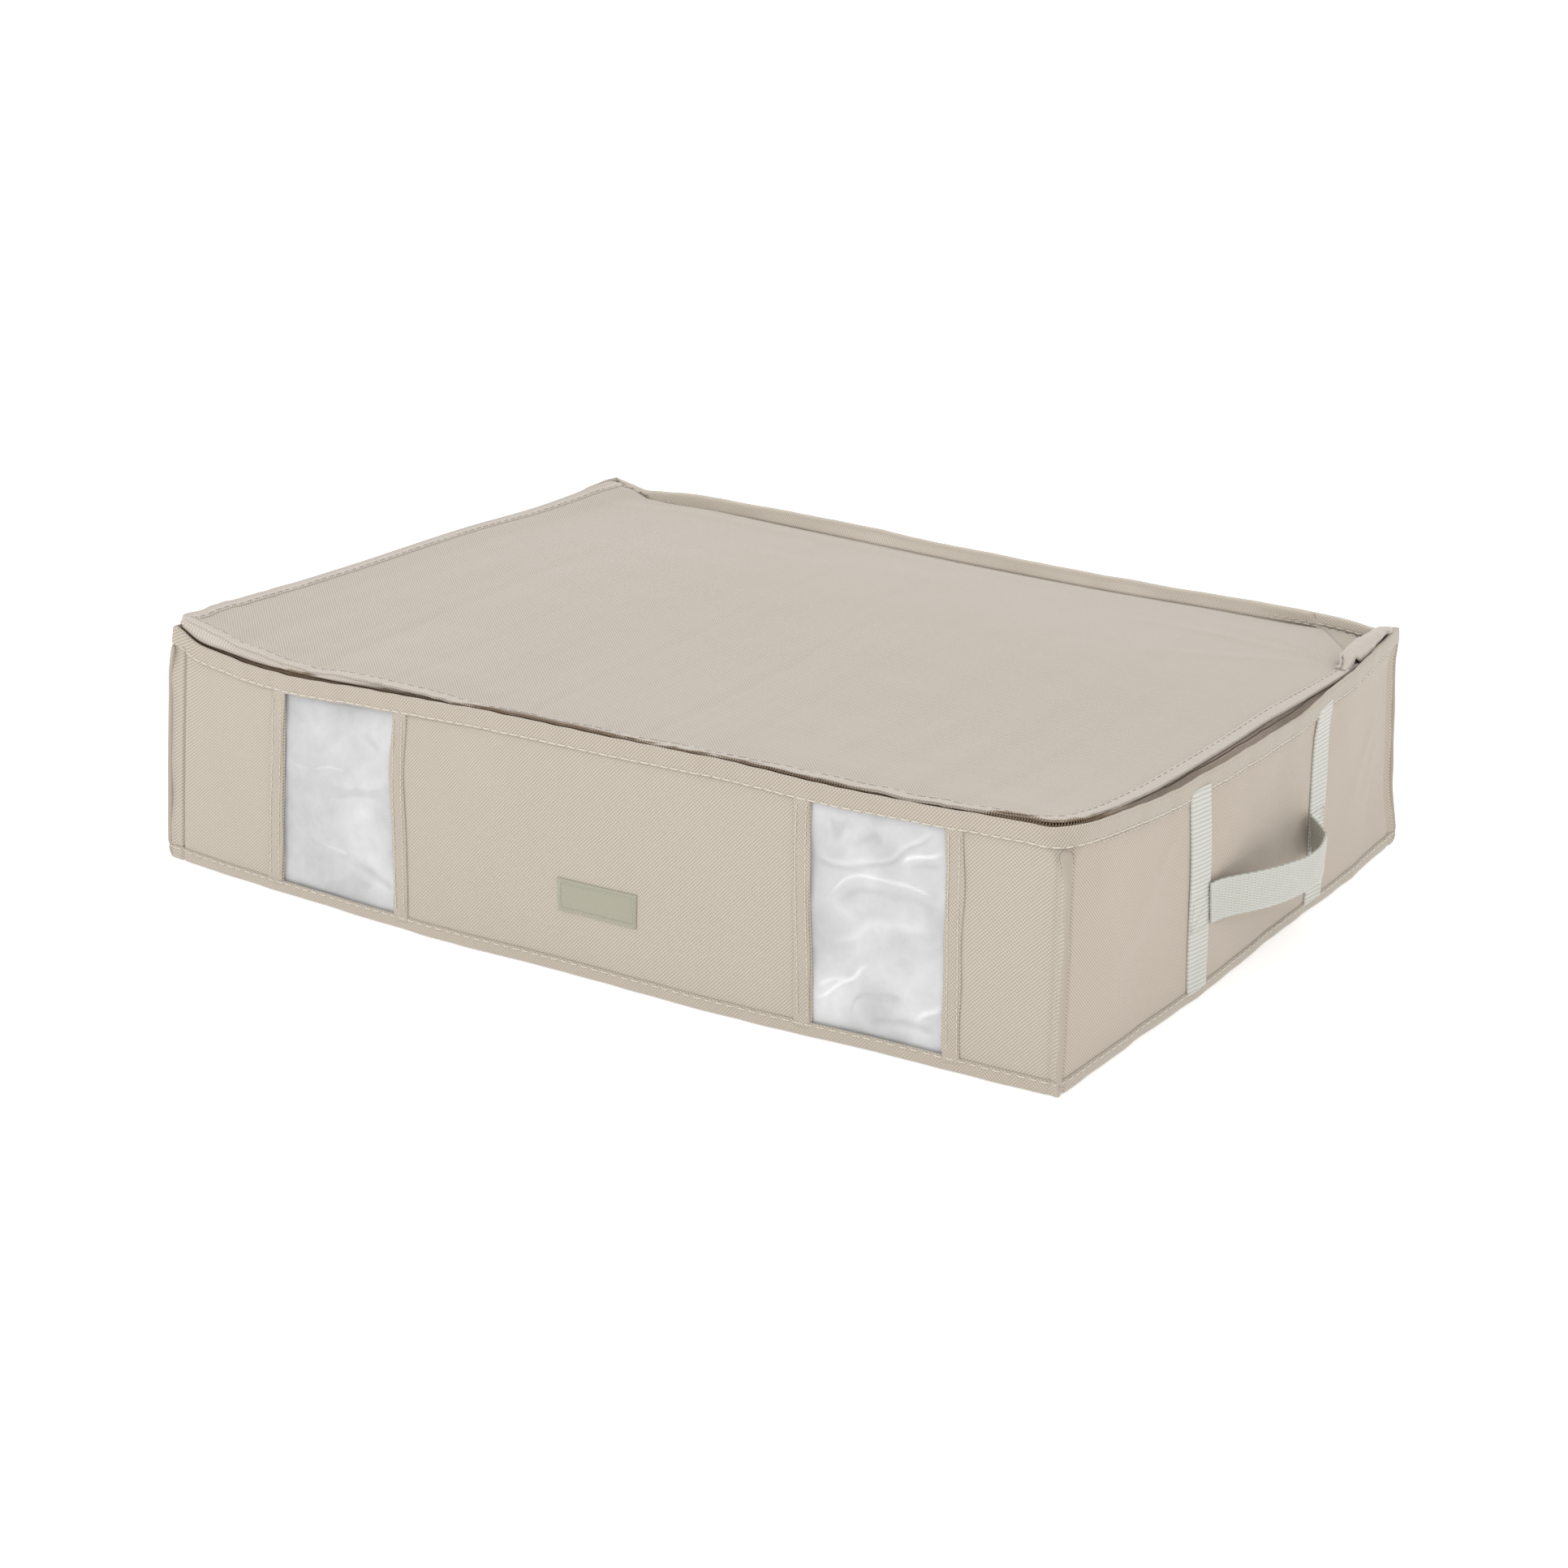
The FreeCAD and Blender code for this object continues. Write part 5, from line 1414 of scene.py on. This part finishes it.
# ---------------------------------------------------------------- the CAD nodes that stay
def finish_cad_nodes():
    looks = {"zip_slider": METAL, "zip_puller": METAL, "zip_stop_left": METAL, "zip_stop_right": METAL,
             "bag_seal_front": BAG_FILM, "bag_seal_back": BAG_FILM, "bag_clip": CLIP_PLASTIC,
             "valve_body": PLASTIC, "valve_cap": PLASTIC}
    for node, look in looks.items():
        obj = frame["nodes"][node]
        obj.data.materials.clear()
        obj.data.materials.append(look)
        bevel = obj.modifiers.new("soft_edges", "BEVEL")
        bevel.width = 0.00025
        bevel.segments = 2
        bevel.limit_method = "ANGLE"
        bevel.angle_limit = math.radians(40)


# Crest of the pleat over the zip's right end: y, z.
PLEAT = [(148, 149.8), (154, 151.8), (160, 154.8), (164.5, 156.6), (171, 157.4), (186, 158.2), (200, 158.2),
         (213, 157.8), (226, 156.6), (238, 155.2), (247, 153)]
# Across the pleat: share of the way down to its foot, x in front and x at the back.
PLEAT_SECTION = [(1.0, 307.0, 300.0), (0.55, 307.6, 301.5), (0.12, 308.4, 304.0), (0.0, 309.6, 306.5),
                 (-0.06, 313.0, 310.5), (-0.03, 316.6, 313.5), (0.1, 318.8, 315.5)]
PLEAT_FOOT = 146.5


def make_left_tab():
    """A flat piece of cloth behind the zip's left end."""
    low, high = box_mm("zip_tab_left")
    x, y = np.meshgrid(np.linspace(low[0], high[0], 12), np.linspace(low[1], high[1], 16), indexing="ij")
    z = low[2] - 2.0 + 0.3 * ripple(x, y, 14, 71)
    sheet("zip_tab_left_cloth", np.stack([x, y, z], -1), 0.9, pair_up(x, y), HEM_CLOTH, "case", "binding",
          "zip_tab_left")


def make_right_tab():
    """A pleat that hides the parked slider."""
    y = steps(PLEAT[0][0], PLEAT[-1][0], 1.5)
    top = curve_through(PLEAT, y)
    shut = smoothstep(161, 172, y)
    foot = top + (PLEAT_FOOT - top) * shut
    outer = wall(s_at(RIGHT, y), 1.0, -2.6)
    far = smoothstep(205, 247, y)
    rows = []
    narrow = 2.2 * smoothstep(176, 165, y) + 5.5 * smoothstep(166, 148, y)
    for share, x0, x1 in PLEAT_SECTION:
        x = x0 + narrow * (x0 < 312) + (x1 - x0) * far
        rows.append(np.stack([x, y, top + (foot - top) * share], -1))
    rim = np.minimum(outer[:, 2] + 0.6, top - 1.2)
    rim = rim + 3.2 * smoothstep(210, 219, y) * smoothstep(236, 227, y)
    edge_z = top - 1.0 + (0.6 * rim + 0.4 * top - top + 1.0) * shut
    last_z = top - 1.6 + (rim - 1.8 - top + 1.6) * shut
    edge = np.stack([319.6 + (outer[:, 0] - 319.6) * 0.6, y, edge_z], -1)
    last = np.stack([319.8 + (outer[:, 0] - 319.8) * shut, y, last_z], -1)
    p = np.stack(rows + [edge, last], 1)
    p[..., 0] += 0.35 * ripple(p[..., 1], p[..., 2], 16, 72)
    p[..., 2] += 0.25 * ripple(p[..., 1], p[..., 0], 12, 73)
    sheet("zip_tab_right_cloth", p, 0.8, pair_up(y[:, None], run_across(p)[None]), HEM_CLOTH,
          "case", "binding", "zip_tab_right", turned=True)


def make_gusset():
    """Cloth that closes the back right corner between the pleat, the lid and the ridge."""
    run = between("zip_end", "hinge_end", np.linspace(0.06, 0.98, 24))
    edge = lid_edge(run)
    s = s_at(BACK, np.linspace(318, LID_CORNERS[4][0] + 1, 24))
    top = wall(s, 1 + 0 * s, -3.6)
    top[:, 2] -= 7.5
    share = np.linspace(0, 1, 14)[None, :, None]
    p = top[:, None] * (1 - share) + (edge - [0, 0, 1.9])[:, None] * share
    p[..., 2] -= 1.6 * np.sin(math.pi * share[..., 0])
    sheet("corner_gusset_cloth", p, 0.8, p[..., :2], BAND_CLOTH, "case", "cloth")


# ---------------------------------------------------------------- stage, light, camera
def make_stage():
    size = 14.0
    mesh = bpy.data.meshes.new("floor")
    corners = [(-size, -size, 0), (size, -size, 0), (size, size, 0), (-size, size, 0)]
    mesh.from_pydata(corners, [], [(0, 1, 2, 3)])
    floor = bpy.data.objects.new("floor", mesh)
    bpy.context.scene.collection.objects.link(floor)
    floor.location.z = CAD_BOX[0].z - 0.0004
    paint = Paint("floor_paper")
    faint = paint.noise(2.0, 2.0)
    tone = paint.vary(1.0, faint, 0.01)
    paint.surface(Base_Color=paint.scale(srgb(250, 250, 250, 1.0), tone), Roughness=0.9,
                  Emission_Color=(1, 1, 1, 1), Emission_Strength=0.3)
    mesh.materials.append(paint.material)
    world = bpy.data.worlds.new("studio")
    bpy.context.scene.world = world
    world.use_nodes = True
    sky = world.node_tree.nodes["Background"]
    sky.inputs[0].default_value = (1, 1, 1, 1)
    sky.inputs[1].default_value = 1.0
    bpy.context.scene.view_settings.view_transform = "Standard"


def soft_light(name, place, aim, size, power):
    data = bpy.data.lights.new(name, "AREA")
    data.shape = "DISK"
    data.size = size
    data.energy = power
    lamp = bpy.data.objects.new(name, data)
    bpy.context.scene.collection.objects.link(lamp)
    lamp.location = place
    lamp.visible_glossy = False
    lamp.rotation_mode = "QUATERNION"
    lamp.rotation_quaternion = (Vector(aim) - Vector(place)).to_track_quat("-Z", "Y")


def make_lights():
    soft_light("key", (-1.6, -2.0, 2.4), (0, 0, 0.05), 1.8, 22)
    soft_light("fill", (2.1, -2.1, 1.7), (0, 0, 0.05), 1.6, 9)
    soft_light("top", (-0.3, 0.7, 3.0), (0, 0, 0), 2.0, 8)


CAMERA_LENS = 73.24
CAMERA_AZIMUTH, CAMERA_ELEVATION, CAMERA_ROLL = (math.radians(a) for a in (31.35, 19.46, 1.66))
CAMERA_DISTANCE = 2.1
CAMERA_AIM = Vector((0.00823, -0.03293, 0.05776))


def make_camera():
    data = bpy.data.cameras.new("camera")
    data.lens = CAMERA_LENS
    data.sensor_width = 36
    data.clip_start = 0.05
    camera = bpy.data.objects.new("camera", data)
    bpy.context.scene.collection.objects.link(camera)
    level = math.cos(CAMERA_ELEVATION)
    back = Vector((math.sin(CAMERA_AZIMUTH) * level, -math.cos(CAMERA_AZIMUTH) * level,
                   math.sin(CAMERA_ELEVATION)))
    camera.location = CAMERA_AIM + CAMERA_DISTANCE * back
    camera.rotation_mode = "QUATERNION"
    camera.rotation_quaternion = (-back).to_track_quat("-Z", "Y") @ Quaternion((0, 0, 1), CAMERA_ROLL)
    bpy.context.scene.camera = camera


make_walls()
make_base()
make_bands()
make_corner_seams()
make_windows()
make_label()
for strap_side, side_name in ((RIGHT, "right"), (LEFT, "left")):
    for strap_end in ("front", "back"):
        make_strap(f"{side_name}_{strap_end}_strap", strap_side)
make_handle(1)
make_handle(-1)
make_zip()
make_lid()
make_bag()
make_stitching()
make_left_tab()
make_right_tab()
make_gusset()
finish_cad_nodes()
make_stage()
make_lights()
make_camera()
